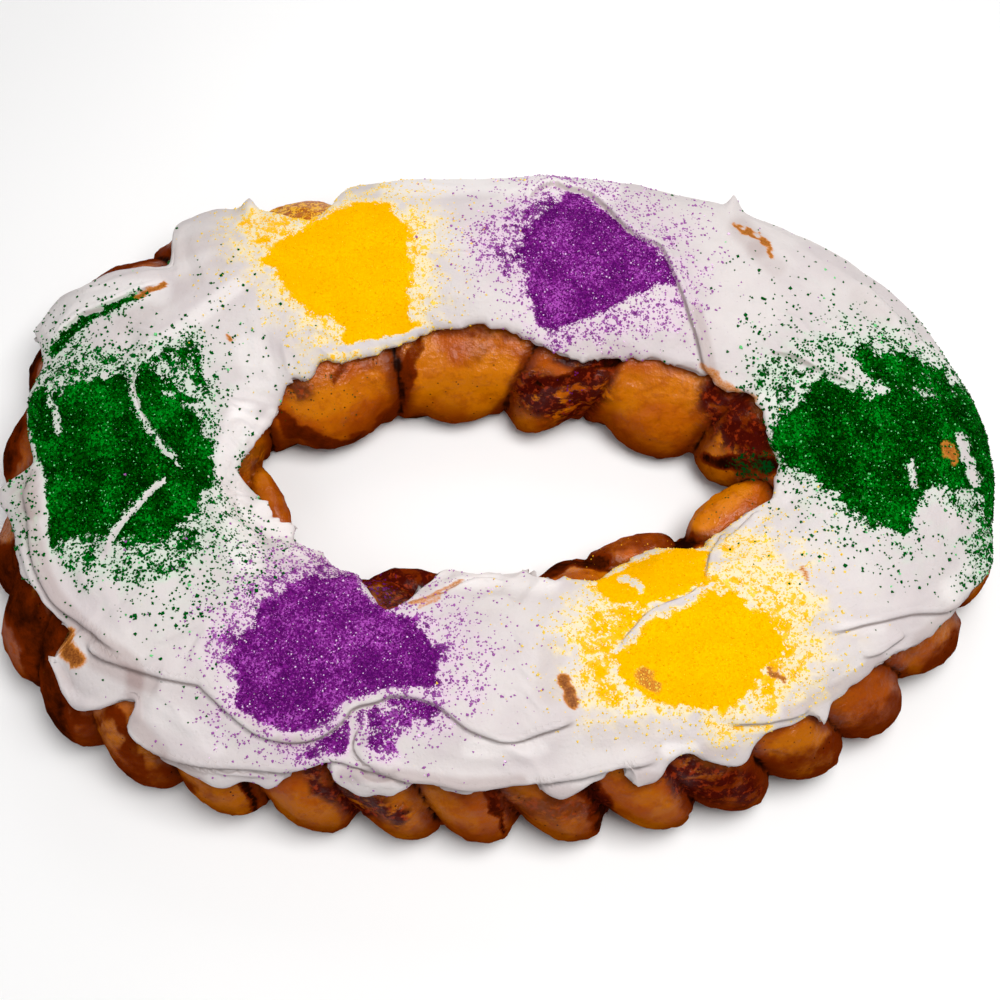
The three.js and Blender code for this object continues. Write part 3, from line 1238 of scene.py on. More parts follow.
    @staticmethod
    def _strokes(over: Array, lumps: Lumps) -> Array:
        """Gives the shallow, long facets that the spatula leaves round the ring.

        Args:
            over: Points on the plain surface.
            lumps: The noise.

        Returns:
            How far each point rises.
        """
        columns, rows = over.shape[:2]
        turn = FULL_TURN * np.arange(columns)[:, None] / columns
        across = np.cumsum(norm(np.diff(over, axis=1, prepend=over[:, :1]), axis=2), axis=1)
        bend = 14 * lumps.at(over + 500, 60)
        wide = np.full_like(across, 28.0)
        ring = np.stack([wide * np.cos(turn), wide * np.sin(turn), across + bend], axis=-1)
        ridged = 1 - 2 * np.abs(lumps.at(ring, 15)) ** 0.8
        fine = 1 - 2 * np.abs(lumps.at(ring + 70, 6.5)) ** 0.8
        calm = ease(lumps.at(over + 900, 34), -0.35, 0.35)
        return 1.1 * ridged * (0.35 + 0.65 * calm) + 0.3 * fine * calm + 0.22 * lumps.at(over, 7)

    def _mesh(self, surface: Array) -> None:
        """Makes the closed skin from a ring primitive, divided and moved onto the surface.

        Args:
            surface: Where the points of the closed sections go.
        """
        clear_selection()
        segments = {"major_segments": self.ring_faces, "minor_segments": self.section_faces}
        bpy.ops.mesh.primitive_torus_add(major_radius=1, minor_radius=0.25, **segments)
        self.piece = bpy.context.object
        self.piece.name = self.piece.data.name = "icing_coat"
        apply_modifier(self.piece, "SUBSURF", subdivision_type="SIMPLE", levels=2, render_levels=2)
        ring = vertex_places(self.piece) * MM
        columns, rows = surface.shape[:2]
        column = np.arctan2(ring[:, 1], ring[:, 0]) / FULL_TURN * columns
        row = np.arctan2(ring[:, 2], np.hypot(ring[:, 0], ring[:, 1]) - 1) / FULL_TURN * rows
        self.cells = np.rint(column).astype(int) % columns, np.rint(row).astype(int) % rows
        move_vertices(self.piece, surface[self.cells])
        with edit_all_of(self.piece):
            bpy.ops.mesh.normals_make_consistent(inside=False)
        bpy.ops.object.shade_smooth()

    def _keep_masks(
        self, over: Array, normals: Array, marks: dict[str, Array], lumps: Lumps
    ) -> None:
        """Keeps the masks of the icing's finish, and the top that the sugar falls on.

        Args:
            over: The worked points, before the lips are rounded.
            normals: Their normals.
            marks: What the folds left on them.
            lumps: The noise that tears the borders.
        """
        last = over.shape[1] - 2 * self.lip_low - self.under
        shape = over.shape[:-1]
        up = ease(normals[..., 2], 0.0, 0.55)
        seen = SIGHT.seen(over).reshape(-1, 2)
        torn = lumps.rough(over, 9).ravel()
        tight = lumps.rough(over + 90, 3.6, 2).ravel()
        # bare spots, and one painted reflection of a gold board
        bare = self._lined(self.bare_spots_and_reflection, over, lumps)
        wiped = self._lined(self.wiped, over, lumps)
        bare_share = {hue: np.ones(len(seen)) for hue in Hue}
        for hue in Hue:
            for patch in self.patches[hue]:
                bare_share[hue] *= 1 - np.clip(patch.cover(seen, torn + 0.5 * tight), 0, 1)
        for hue in Hue:
            least = np.minimum.reduce([share for other, share in bare_share.items() if other is not hue])
            cover = (1 - bare_share[hue]) * (1 - 0.93 * ease(1 - least, 0.45, 0.9))
            clumped = np.clip(cover * (1 + 0.9 * tight * (1 - cover)), 0, 1).reshape(shape)
            cover = clumped * up * (1 - 0.5 * marks["crest"]) * (1 - wiped)
            self.covers[hue] = (cover * (1 - bare))[:, :last]
            store(self.piece, hue.value, cover[self.cells])
        # painted light and shade on the icing: above 0 it is painted lighter, below 0 darker
        tint = np.clip(sum(streak.cover(seen) for streak in self.painted_light_and_shade), -1, 1).reshape(shape)
        masks = {"tint": tint, "bare": bare, "lap": marks["lap"], "power": marks["power"]}
        for name, mask in masks.items():
            store(self.piece, name, mask[self.cells])
        table = np.empty_like(over)
        table[self.cells] = vertex_places(self.piece)
        self.top = table[:, :last]
        self.normals = normals[:, :last]

    @staticmethod
    def _lined(streaks: tuple[Streak, ...], over: Array, lumps: Lumps) -> Array:
        """Gives how strongly streaks with torn borders cover the points."""
        seen = SIGHT.seen(over + 0.8 * lumps.rough(over + 40, 4)[..., None]).reshape(-1, 2)
        return np.maximum.reduce([streak.cover(seen) for streak in streaks]).reshape(over.shape[:-1])


# ---- the coarse sugar


@dataclass
class SugarGrains:
    """The grains of one colour, each a small crystal resting in the icing."""

    hue: Hue
    seed: int
    across: float
    loose_growth: float
    sunk: float
    count: int = 24000
    evenness: float = 1.25
    uneven: float = 0.32
    piece: Piece | None = None

    def build(self, icing: Icing) -> Piece:
        """Scatters the grains over the icing.

        Args:
            icing: The finished icing, with its cover of this colour.

        Returns:
            The finished piece.
        """
        random = np.random.default_rng(self.seed)
        cover = icing.covers[self.hue]
        spots, normals, heaped = self._spots(icing, cover**self.evenness, cover, random)
        crystal = self._crystal()
        shape = unit(vertex_places(crystal))
        faces = np.array([tuple(face.vertices) for face in crystal.data.polygons])
        radius = 0.57 * self.across
        size = radius * np.exp(self.uneven * random.normal(size=self.count))
        size = np.clip(size, 0.6 * radius, 1.7 * radius) * (1 + self.loose_growth * (1 - heaped))
        stretch = random.uniform(0.75, 1.25, (self.count, 1, 3))
        turned = self._turns(random)
        corners = np.einsum("nij,nkj->nki", turned, shape[None] * stretch) * size[:, None, None]
        rest = size * random.uniform(-0.1, 0.5, self.count) + heaped * random.uniform(-0.2, 0.1, self.count)
        rest -= size * (0.35 * (1 - heaped) + self.sunk * heaped)
        corners += (spots + normals * rest[:, None])[:, None]
        table = (faces[None] + (np.arange(self.count) * len(shape))[:, None, None]).reshape(-1, 3)
        self.piece = self._mesh(crystal, corners.reshape(-1, 3), table)
        store(self.piece, "tone", np.repeat(random.uniform(0, 1, self.count), len(shape)))
        store(self.piece, "loose", np.repeat(1 - heaped, len(shape)))
        return self.piece

    def dress(self, finish: SugarFinish) -> None:
        """Gives the grains their finish and ties them to the model.

        Args:
            finish: The finish.
        """
        self.piece.data.materials.append(finish.material())
        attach(self.piece, "root")

    def _spots(
        self, icing: Icing, weight: Array, dense: Array, random: np.random.Generator
    ) -> tuple[Array, Array, Array]:
        """Picks places on the icing's top.

        Args:
            icing: The finished icing.
            weight: How thickly the grains fall, on any scale.
            dense: The closed cover.
            random: The random numbers.

        Returns:
            The places, the normals there, and how heaped the sugar is.
        """
        top = icing.top
        beside = np.roll(top, -1, axis=0)
        area = norm(np.cross(beside[:, :-1] - top[:, :-1], top[:, 1:] - top[:, :-1]), axis=-1)
        chance = np.cumsum((weight[:, :-1] * area).ravel())
        cell = np.searchsorted(chance, random.uniform(0, chance[-1], self.count))
        column, row = np.unravel_index(np.minimum(cell, area.size - 1), area.shape)
        after = (column + 1) % len(top)
        a, b = random.uniform(size=(2, self.count, 1))
        level = top[column, row] * (1 - a) + top[after, row] * a
        upper = top[column, row + 1] * (1 - a) + top[after, row + 1] * a
        return level * (1 - b) + upper * b, icing.normals[column, row], dense[column, row]

    @staticmethod
    def _crystal() -> Piece:
        """Models one eight-sided crystal, a pyramid whose foot is drawn down to a second tip.

        Returns:
            The crystal.
        """
        clear_selection()
        bpy.ops.mesh.primitive_cone_add(vertices=4, radius1=1, radius2=0, depth=1, end_fill_type="TRIFAN")
        crystal = bpy.context.object
        with edit_all_of(crystal):
            bpy.ops.transform.translate(value=(0, 0, 0.35))
        return crystal

    def _turns(self, random: np.random.Generator) -> Array:
        """Gives each grain a random turn.

        Args:
            random: The random numbers.

        Returns:
            A turning matrix for each grain.
        """
        q = unit(random.normal(size=(self.count, 4)))
        w, x, y, z = q.T
        return np.stack([
            np.stack([1 - 2 * (y * y + z * z), 2 * (x * y - z * w), 2 * (x * z + y * w)], -1),
            np.stack([2 * (x * y + z * w), 1 - 2 * (x * x + z * z), 2 * (y * z - x * w)], -1),
            np.stack([2 * (x * z - y * w), 2 * (y * z + x * w), 1 - 2 * (x * x + y * y)], -1),
        ], 1)

    def _mesh(self, crystal: Piece, places: Array, faces: Array) -> Piece:
        """Makes one mesh of all the copies of the crystal.

        Args:
            crystal: The crystal, which takes the mesh.
            places: Every copy's corners.
            faces: Their triangles.

        Returns:
            The piece.
        """
        name = f"{self.hue.value}_sugar_grains"
        mesh = bpy.data.meshes.new(name)
        mesh.vertices.add(len(places))
        mesh.loops.add(faces.size)
        mesh.polygons.add(len(faces))
        mesh.vertices.foreach_set("co", (places * MM).astype(np.float32).ravel())
        mesh.loops.foreach_set("vertex_index", faces.astype(np.int32).ravel())
        mesh.polygons.foreach_set("loop_start", np.arange(0, faces.size, 3, dtype=np.int32))
        mesh.update(calc_edges=True)
        mesh.validate()
        crystal.data = mesh
        crystal.name = name
        return crystal


# ---- finishes


class NodeNet:
    """A node tree with short ways to add and join nodes."""

    def __init__(self, tree: bpy.types.NodeTree) -> None:
        """Works on `tree`, emptied."""
        tree.nodes.clear()
        self.tree = tree

    def add(self, kind: str, inputs: dict | None = None, **settings: object) -> bpy.types.Node:
        """Adds a node.

        Args:
            kind: Its type, without the ShaderNode prefix.
            inputs: Values or sockets for its inputs, by name or number.
            settings: Its own properties.

        Returns:
            The node.
        """
        node = self.tree.nodes.new(kind if kind.startswith("Node") else f"ShaderNode{kind}")
        for name, value in settings.items():
            setattr(node, name, value)
        for key, value in (inputs or {}).items():
            if isinstance(value, Socket):
                self.tree.links.new(value, node.inputs[key])
            else:
                node.inputs[key].default_value = value
        return node

    def attribute(self, name: str) -> Socket:
        """Reads one of the piece's masks."""
        return self.add("Attribute", attribute_name=name).outputs["Fac"]

    def noise(self, scale: float, detail: float = 3, rough: float = 0.5, stretch: tuple = ()) -> object:
        """Adds noise on the piece's own coordinates.

        Args:
            scale: Lumps to the metre.
            detail: How many finer layers it has.
            rough: How strong those are.
            stretch: Another scale for x, y and z.

        Returns:
            The noise.
        """
        place = self.add("TexCoord").outputs["Object"]
        if stretch:
            place = self.add("Mapping", {"Vector": place, "Scale": stretch}).outputs["Vector"]
        made = self.add("TexNoise", {"Vector": place, "Scale": scale, "Detail": detail, "Roughness": rough})
        return made.outputs["Fac"]

    def math(self, what: str, a: object, b: object = 0.0, c: object = 0.0, clamp: bool = False) -> object:
        """Adds a sum of up to three values."""
        return self.add("Math", {0: a, 1: b, 2: c}, operation=what, use_clamp=clamp).outputs[0]

    def step(self, value: object, low: float, high: float) -> object:
        """Rises smoothly from 0 at `low` to 1 at `high`."""
        inputs = {"Value": value, "From Min": low, "From Max": high}
        return self.add("MapRange", inputs, interpolation_type="SMOOTHSTEP").outputs["Result"]

    def times(self, a: object, b: object) -> object:
        """Multiplies two values."""
        return self.math("MULTIPLY", a, b)

    def plus(self, base: object, value: object, share: float) -> object:
        """Adds a share of a value to another one."""
        return self.math("MULTIPLY_ADD", value, share, base)

    def torn(self, mask: object, noise: object, amount: float, middle: float = 0.5) -> object:
        """Tears a mask with noise, counted from its middle."""
        return self.plus(mask, self.math("SUBTRACT", noise, middle), amount)

    def mix(self, share: object, first: object, second: object) -> object:
        """Mixes two colours."""
        return self.add("Mix", {0: share, 6: first, 7: second}, data_type="RGBA").outputs[2]

    def over(
        self, first: object, second: object, value: object, low: float, high: float, most: float = 1
    ) -> object:
        """Lays a second colour on the first, rising to `most` of it as a value goes from `low` to `high`."""
        share = self.step(value, low, high)
        return self.mix(share if most == 1 else self.times(share, most), first, second)


def paint(red: float, green: float, blue: float) -> tuple[float, float, float, float]:
    """Turns a colour as the eye reads it, from 0 to 255, into the shader's own scale."""
    shares = [value / 255 for value in (red, green, blue)]
    return (*(s / 12.92 if s <= 0.04045 else ((s + 0.055) / 1.055) ** 2.4 for s in shares), 1.0)


def new_group(name: str, inputs: tuple[str, ...], outputs: tuple[str, ...]) -> NodeNet:
    """Starts a shared effect whose inputs and outputs are single values.

    Args:
        name: Its name.
        inputs: Its inputs' names.
        outputs: Its outputs' names.

    Returns:
        Its empty net.
    """
    tree = bpy.data.node_groups.new(name, "ShaderNodeTree")
    for in_out, labels in (("INPUT", inputs), ("OUTPUT", outputs)):
        for label in labels:
            tree.interface.new_socket(label, in_out=in_out, socket_type="NodeSocketFloat")
    return NodeNet(tree)


def fine_grain() -> bpy.types.NodeTree:
    """Makes the shared effect of a pitted, grainy surface, or gives the one already made.

    Returns:
        The effect.
    """
    name = "fine_grain"
    if name in bpy.data.node_groups:
        return bpy.data.node_groups[name]
    net = new_group(name, ("Lumps", "Pits"), ("Height",))
    given = net.add("NodeGroupInput").outputs
    place = net.add("TexCoord").outputs["Object"]
    soft = net.add("TexNoise", {"Vector": place, "Scale": given["Lumps"], "Detail": 3.0})
    cells = net.add("TexVoronoi", {"Vector": place, "Scale": given["Pits"]})
    pits = net.step(cells.outputs["Distance"], 0.05, 0.35)
    height = net.math("ADD", net.times(soft.outputs["Fac"], 0.7), net.times(pits, 0.3))
    net.add("NodeGroupOutput", {"Height": height})
    return net.tree


def sugar_speckle() -> bpy.types.NodeTree:
    """Makes the shared effect of sugar strewn as a mask says, or gives the one already made.

    Returns:
        The effect.
    """
    name = "sugar_speckle"
    if name in bpy.data.node_groups:
        return bpy.data.node_groups[name]
    net = new_group(name, ("Cover", "Lot", "Grains"), ("Mask", "Tone", "Loose", "Height"))
    given = net.add("NodeGroupInput").outputs
    place = net.add("TexCoord").outputs["Object"]
    moved = net.add("VectorMath", {0: place, 1: given["Lot"]}, operation="ADD").outputs[0]
    clumps = net.add("TexNoise", {"Vector": moved, "Scale": 380.0, "Detail": 2.0}).outputs["Fac"]
    bare = net.math("SUBTRACT", 1.0, given["Cover"], clamp=True)
    gather = net.times(net.times(given["Cover"], bare), net.math("MULTIPLY_ADD", clumps, 8.0, -4.2))
    cover = net.math("ADD", given["Cover"], gather)
    layers = []
    for across in (1.0, 0.6):
        scale = net.times(given["Grains"], across)
        cells = net.add("TexVoronoi", {"Vector": moved, "Scale": scale}).outputs
        luck = net.add("SeparateColor", {0: cells["Color"]}).outputs
        ahead = net.math("SUBTRACT", cover, net.times(luck[0], 0.94))
        round_off = net.times(net.step(cells["Distance"], 0.2, 0.6), bare)
        strewn = net.step(net.math("SUBTRACT", ahead, net.times(round_off, 0.6)), -0.02, 0.07)
        if across == 1:
            strewn = net.times(strewn, net.step(given["Cover"], 0.45, 0.75))
        layers.append((strewn, net.times(strewn, net.step(cells["Distance"], 0.7, 0.1)), luck[1]))
    (coarse, coarse_crown, tone), (fine, fine_crown, _) = layers
    mask, height = net.math("MAXIMUM", coarse, fine), net.math("MAXIMUM", coarse_crown, fine_crown)
    net.add("NodeGroupOutput", {"Mask": mask, "Tone": tone, "Loose": bare, "Height": height})
    return net.tree


class Finish:
    """What every finish has: a name and a shader with its output."""

    name: str

    def _start(self) -> tuple[bpy.types.Material, NodeNet]:
        """Makes the empty material.

        Returns:
            The material and its net.
        """
        made = bpy.data.materials.new(self.name)
        made.use_nodes = True
        return made, NodeNet(made.node_tree)

    @staticmethod
    def _grain(net: NodeNet, lumps: float, pits: float) -> Socket:
        """Places the shared grain in a material."""
        return net.add("Group", {"Lumps": lumps, "Pits": pits}, node_tree=fine_grain()).outputs["Height"]

    @staticmethod
    def _speckle(net: NodeNet, mask: str, lot: float, grains: float = 1750) -> bpy.types.Node:
        """Strews one colour of sugar as a mask of the piece says."""
        inputs = {"Cover": net.attribute(mask), "Lot": lot, "Grains": grains}
        return net.add("Group", inputs, node_tree=sugar_speckle())

    @staticmethod
    def _close(net: NodeNet, inputs: dict) -> None:
        """Adds the surface shader and the output."""
        shader = net.add("BsdfPrincipled", inputs)
        net.add("OutputMaterial", {"Surface": shader.outputs["BSDF"]})


@dataclass(frozen=True)
class CrustFinish(Finish):
    """Egg-washed crust: amber bulges, near black seams, marbled where cinnamon leaked, with painted shade
    towards the tray, in and beside the seams and along the ring's dark side, and painted highlights on some
    lobes.
    """

    name: str = "baked_crust"
    light: tuple = paint(203, 114, 2)
    amber: tuple = paint(175, 80, 2)
    rust: tuple = paint(146, 56, 2)
    baked: tuple = paint(104, 34, 2)
    dark: tuple = paint(28, 7, 2)
    cinnamon: tuple = paint(66, 11, 4)
    cinnamon_light: tuple = paint(136, 44, 14)
    green: tuple = paint(0, 62, 18)
    purple: tuple = paint(92, 20, 96)
    gold: tuple = paint(240, 176, 30)

    def material(self) -> bpy.types.Material:
        """Builds the material.

        Returns:
            The material.
        """
        made, net = self._start()
        broad, fine, mottle = net.noise(40), net.noise(420, 4, 0.6), net.noise(190, 5, 0.68)
        # the pale mask lightens the crust: paler crust, partly a painted highlight on the lobes
        pale = net.attribute("pale")
        # amber to light, scorched and mottled
        tone = net.plus(net.plus(broad, net.attribute("tone"), 0.08), pale, 0.2)
        colour = net.mix(net.step(tone, 0.36, 0.7), self.amber, self.light)
        scorch = net.math("ADD", net.noise(70, 4, 0.6), net.times(fine, 0.3))
        scorch = net.plus(scorch, pale, -0.2)
        colour = net.over(colour, self.baked, scorch, 0.58, 0.95, 0.6)
        colour = net.over(colour, self.rust, mottle, 0.5, 0.66, 0.42)
        # darker on the outer row of strands
        colour = net.mix(net.times(net.attribute("roast"), 0.34), colour, self.baked)
        # painted shade towards the tray and beside the seams, the near black of the seams partly painted
        # shade, and darker where the crust burnt and where shade is painted on
        place = net.add("TexCoord").outputs["Object"]
        # painted shade: brown from 30 mm down and near black below 9 mm, towards the tray
        low = net.torn(net.add("SeparateXYZ", {0: place}).outputs["Z"], broad, 0.02)
        colour = net.over(colour, self.baked, low, 0.03, 0.007, 0.9)
        # painted shade on each strand's sides next to the seams
        flank = net.plus(net.torn(net.attribute("flank"), broad, 0.8), pale, -0.35)
        colour = net.over(colour, self.baked, flank, 0.25, 0.95, 0.85)
        colour = net.over(colour, self.dark, low, 0.009, 0.001, 0.85)
        # darker where the crust burnt, and painted shade along the ring's dark end, in gaps between lobes
        # and under the icing's lip
        burnt = net.torn(net.attribute("burnt"), scorch, 0.9, 0.65)
        colour = net.over(colour, self.baked, burnt, 0.1, 0.6)
        colour = net.over(colour, self.dark, burnt, 0.6, 1.05)
        # near black in the seams: dark joints, deepened with painted shade
        seam = net.torn(net.attribute("seam"), fine, 0.4)
        colour = net.over(colour, self.dark, seam, 0.3, 0.9)
        # leaked cinnamon, dusts of sugar and dark crumbs
        swirl = net.noise(150, 4, 0.6, (1.0, 1.0, 2.2))
        leak = net.times(net.attribute("cinnamon"), net.step(swirl, 0.36, 0.5))
        filling = net.mix(net.step(fine, 0.5, 0.66), self.cinnamon, self.cinnamon_light)
        colour = net.mix(leak, colour, filling)
        dusts = {Bake.GREEN_DUST: (self.green, 3.0), Bake.PURPLE_DUST: (self.purple, 5.0),
                 Bake.GOLD_DUST: (self.gold, 9.0)}
        for bake, (stain, lot) in dusts.items():
            colour = net.mix(self._speckle(net, bake.value, lot).outputs["Mask"], colour, stain)
        spot = net.add("TexVoronoi", {"Vector": place, "Scale": 330.0}).outputs["Distance"]
        crumb = net.times(net.step(spot, 0.16, 0.06), net.step(broad, 0.5, 0.56))
        colour = net.mix(crumb, colour, self.dark)
        # relief and gloss
        rough = net.math("MULTIPLY_ADD", fine, 0.3, 0.4)
        height = net.plus(self._grain(net, 700, 260), net.noise(170), 1.2)
        height = net.plus(net.plus(height, leak, 0.5), mottle, 1.6)
        bump = net.add("Bump", {"Height": height, "Strength": 0.6, "Distance": 0.0008})
        shine = net.times(net.attribute("glaze"), net.step(burnt, 0.6, 0.1))
        self._close(net, {
            "Base Color": colour, "Roughness": rough, "Normal": bump.outputs["Normal"],
            "Specular IOR Level": 0.0, "Coat Weight": net.times(shine, 0.45),
            "Coat Roughness": 0.13, "Coat Normal": bump.outputs["Normal"],
        })
        return made


@dataclass(frozen=True)
class SugarFinish(Finish):
    """Glassy dyed sugar: each crystal has its own tone, and a few are painted with a glint."""

    name: str
    deep: tuple
    body: tuple
    bright: tuple
    painted_glint: tuple
    loose: tuple
    dust: tuple
    across: float
    soft: float
    crowns: float = 1.0

    def material(self) -> bpy.types.Material:
        """Builds the material.

        Returns:
            The material.
        """
        made, net = self._start()
        tone = net.attribute("tone")
        colour = net.mix(net.step(tone, 0.0, 0.55), self.deep, self.body)
        colour = net.over(colour, self.bright, tone, 0.55, 0.95)
        colour = net.over(colour, self.loose, net.attribute("loose"), 0.15, 0.75)
        # painted glint: a few crystals turn near white
        colour = net.over(colour, self.painted_glint, tone, 0.94, 0.97)
        rough = net.math("MULTIPLY_ADD", net.noise(2600, 1), 0.3, 0.12)
        self._close(net, {
            "Base Color": colour, "Roughness": rough, "Specular IOR Level": 0.03,
            "Specular Tint": self.bright, "Subsurface Weight": self.soft,
            "Subsurface Radius": (1.0, 0.9, 0.8), "Subsurface Scale": 0.0009,
        })
        return made


@dataclass(frozen=True)
class IcingFinish(Finish):
    """White icing, a little translucent, covered by the sugar that lies in it."""

    name: str = "poured_icing"
    white: tuple = paint(209, 202, 201)
    cool: tuple = paint(201, 192, 193)
    # painted shade at the foot of the laps
    shade: tuple = paint(150, 130, 124)
    # the next two are a painted highlight tone and a painted shade tone, laid on by the tint mask
    bright: tuple = paint(242, 237, 236)
    painted_shade_tone: tuple = paint(166, 148, 146)
    sugars: tuple[tuple[Hue, SugarFinish], ...] = ()
    thin: tuple = paint(198, 124, 48)
    thin_dark: tuple = paint(96, 38, 6)

    def material(self) -> bpy.types.Material:
        """Builds the material.

        Returns:
            The material.
        """
        made, net = self._start()
        colour = net.mix(net.step(net.noise(38, 3), 0.35, 0.65), self.cool, self.white)
        # painted light and shade: the tint mask lightens towards a painted highlight and darkens towards a
        # painted shade
        tint = net.attribute("tint")
        colour = net.mix(tint, colour, self.bright)
        colour = net.mix(net.math("MULTIPLY", tint, -1.0, clamp=True), colour, self.painted_shade_tone)
        power, lap = net.attribute("power"), net.attribute("lap")
        # painted shade at the foot of each lap, just past its crest
        foot = net.times(net.step(lap, -0.1, 0.6), net.step(lap, 1.9, 0.8))
        colour = net.mix(net.times(net.times(foot, power), 0.55), colour, self.shade)
        # the sugar that lies too thickly to be modelled grain by grain
        heap, strewn = 0.0, 0.0
        drift = net.noise(90, 2)
        for lot, (hue, sugar) in enumerate(self.sugars):
            colour = net.over(colour, sugar.dust, net.attribute(hue.value), 0.0, 0.55, 0.6)
            grains = self._speckle(net, hue.value, 7.0 + 2 * lot, 1 / sugar.across).outputs
            tone = net.torn(grains["Tone"], drift, 2.4)
            stain = net.mix(net.step(tone, 0.1, 0.7), sugar.deep, sugar.body)
            stain = net.over(stain, sugar.bright, tone, 0.72, 1.0)
            stain = net.over(stain, sugar.loose, grains["Loose"], 0.15, 0.75)
            colour = net.mix(grains["Mask"], colour, stain)
            heap = net.math("MAXIMUM", heap, net.times(grains["Height"], sugar.crowns))
            strewn = net.math("MAXIMUM", strewn, grains["Mask"])
        # thin places where the dough shows, and a painted reflection of a gold board under a lap's edge
        bare = net.torn(net.attribute("bare"), net.noise(1500, 2, 0.6), 0.6)
        dough = net.mix(net.step(bare, 0.5, 1.25), self.thin, self.thin_dark)
        colour = net.over(colour, dough, bare, 0.15, 0.75)
        # relief and gloss
        height = net.plus(self._grain(net, 700, 420), net.noise(170, 4, 0.55), 1.5)
        height = net.plus(height, heap, 1.3)
        height = net.plus(height, net.times(net.step(lap, 0.7, -0.1), power), 1.6)
        bump = net.add("Bump", {"Height": height, "Strength": 0.4, "Distance": 0.0005})
        rough = net.math("MULTIPLY_ADD", net.noise(300, 2), 0.16, 0.36)
        self._close(net, {
            "Base Color": colour, "Roughness": rough, "Normal": bump.outputs["Normal"],
            "Subsurface Weight": 0.1, "Subsurface Radius": (1.0, 0.8, 0.7), "Subsurface Scale": 0.0015,
            "Specular IOR Level": 0.0, "Coat Roughness": 0.42, "Coat Normal": bump.outputs["Normal"],
            "Coat Weight": net.math("MULTIPLY_ADD", strewn, -0.16, 0.16),
        })
        return made


@dataclass(frozen=True)
class TableFinish(Finish):
    """A plain, pale, matt table top."""

    name: str = "pale_table"

    def material(self) -> bpy.types.Material:
        """Builds the material.

        Returns:
            The material.
        """
        made, net = self._start()
        colour = net.mix(net.noise(6, 2), paint(244, 244, 245), paint(250, 250, 250))
        self._close(net, {"Base Color": colour, "Roughness": 0.75})
        return made


# ---- the studio


@dataclass
class Studio:
    """The table, the soft lights and the camera above the near side."""

    sky: float = 0.18
    key: float = 5.7
    fill: float = 0.95
    back: float = 1.4

    def build(self) -> None:
        """Sets everything up round the cake."""
        self._table()
        self._sky()
        self._lamp("key_light", (170, -60, 760), 420, self.key, (1.0, 0.99, 0.975))
        self._lamp("fill_light", (-520, -320, 480), 560, self.fill, (0.97, 0.98, 1.0))
        self._lamp("back_light", (60, 620, 460), 480, self.back, (1.0, 1.0, 1.0))
        self._camera()

    def _table(self) -> None:
        """Lays the pale table top under the cake."""
        clear_selection()
        bpy.ops.mesh.primitive_plane_add(size=1)
        table = bpy.context.object
        table.name = "pale_table"
        corners = vertex_places(table)
        move_vertices(table, corners * (6, 6, 0) + (0, 0, -0.02))
        table.data.materials.append(TableFinish().material())

    def _sky(self) -> None:
        """Fills the room with even, pale light."""
        world = bpy.data.worlds.new("studio")
        bpy.context.scene.world = world
        world.use_nodes = True
        world.node_tree.nodes["Background"].inputs["Color"].default_value = (1.0, 0.99, 0.985, 1)
        world.node_tree.nodes["Background"].inputs["Strength"].default_value = self.sky

    def _lamp(self, name: str, place: tuple, size: float, power: float, colour: tuple) -> None:
        """Hangs one soft lamp, aimed at the cake.

        Args:
            name: Its name.
            place: Where it hangs.
            size: The side of its square face.
            power: Its power in watts.
            colour: Its tint.
        """
        data = bpy.data.lights.new(name, "AREA")
        data.size, data.energy, data.color = size * MM, power, colour
        spot = Vector(place) * MM
        self._hung(data, spot, -spot)

    def _camera(self) -> None:
        """Puts the camera over the near side, tilted down at the cake, and keeps the colours true."""
        data = bpy.data.cameras.new("camera")
        data.lens, data.sensor_width, data.clip_start = SIGHT.lens, SIGHT.sensor, 0.01
        back = Vector(SIGHT.axes()[2].tolist())
        place = (Vector(SIGHT.aim) + back * SIGHT.distance) * MM
        bpy.context.scene.camera = self._hung(data, place, -back)
        bpy.context.scene.view_settings.view_transform = "Standard"

    @staticmethod
    def _hung(data: bpy.types.ID, place: Vector, way: Vector) -> Piece:
        """Hangs a lamp or a camera at a place, pointed along a way.

        Args:
            data: The lamp or the camera.
            place: Where it hangs.
            way: The way it points.

        Returns:
            The new object.
        """
        item = bpy.data.objects.new(data.name, data)
        bpy.context.scene.collection.objects.link(item)
        item.location, item.rotation_euler = place, way.to_track_quat("-Z", "Y").to_euler()
        return item


# ---- this cake


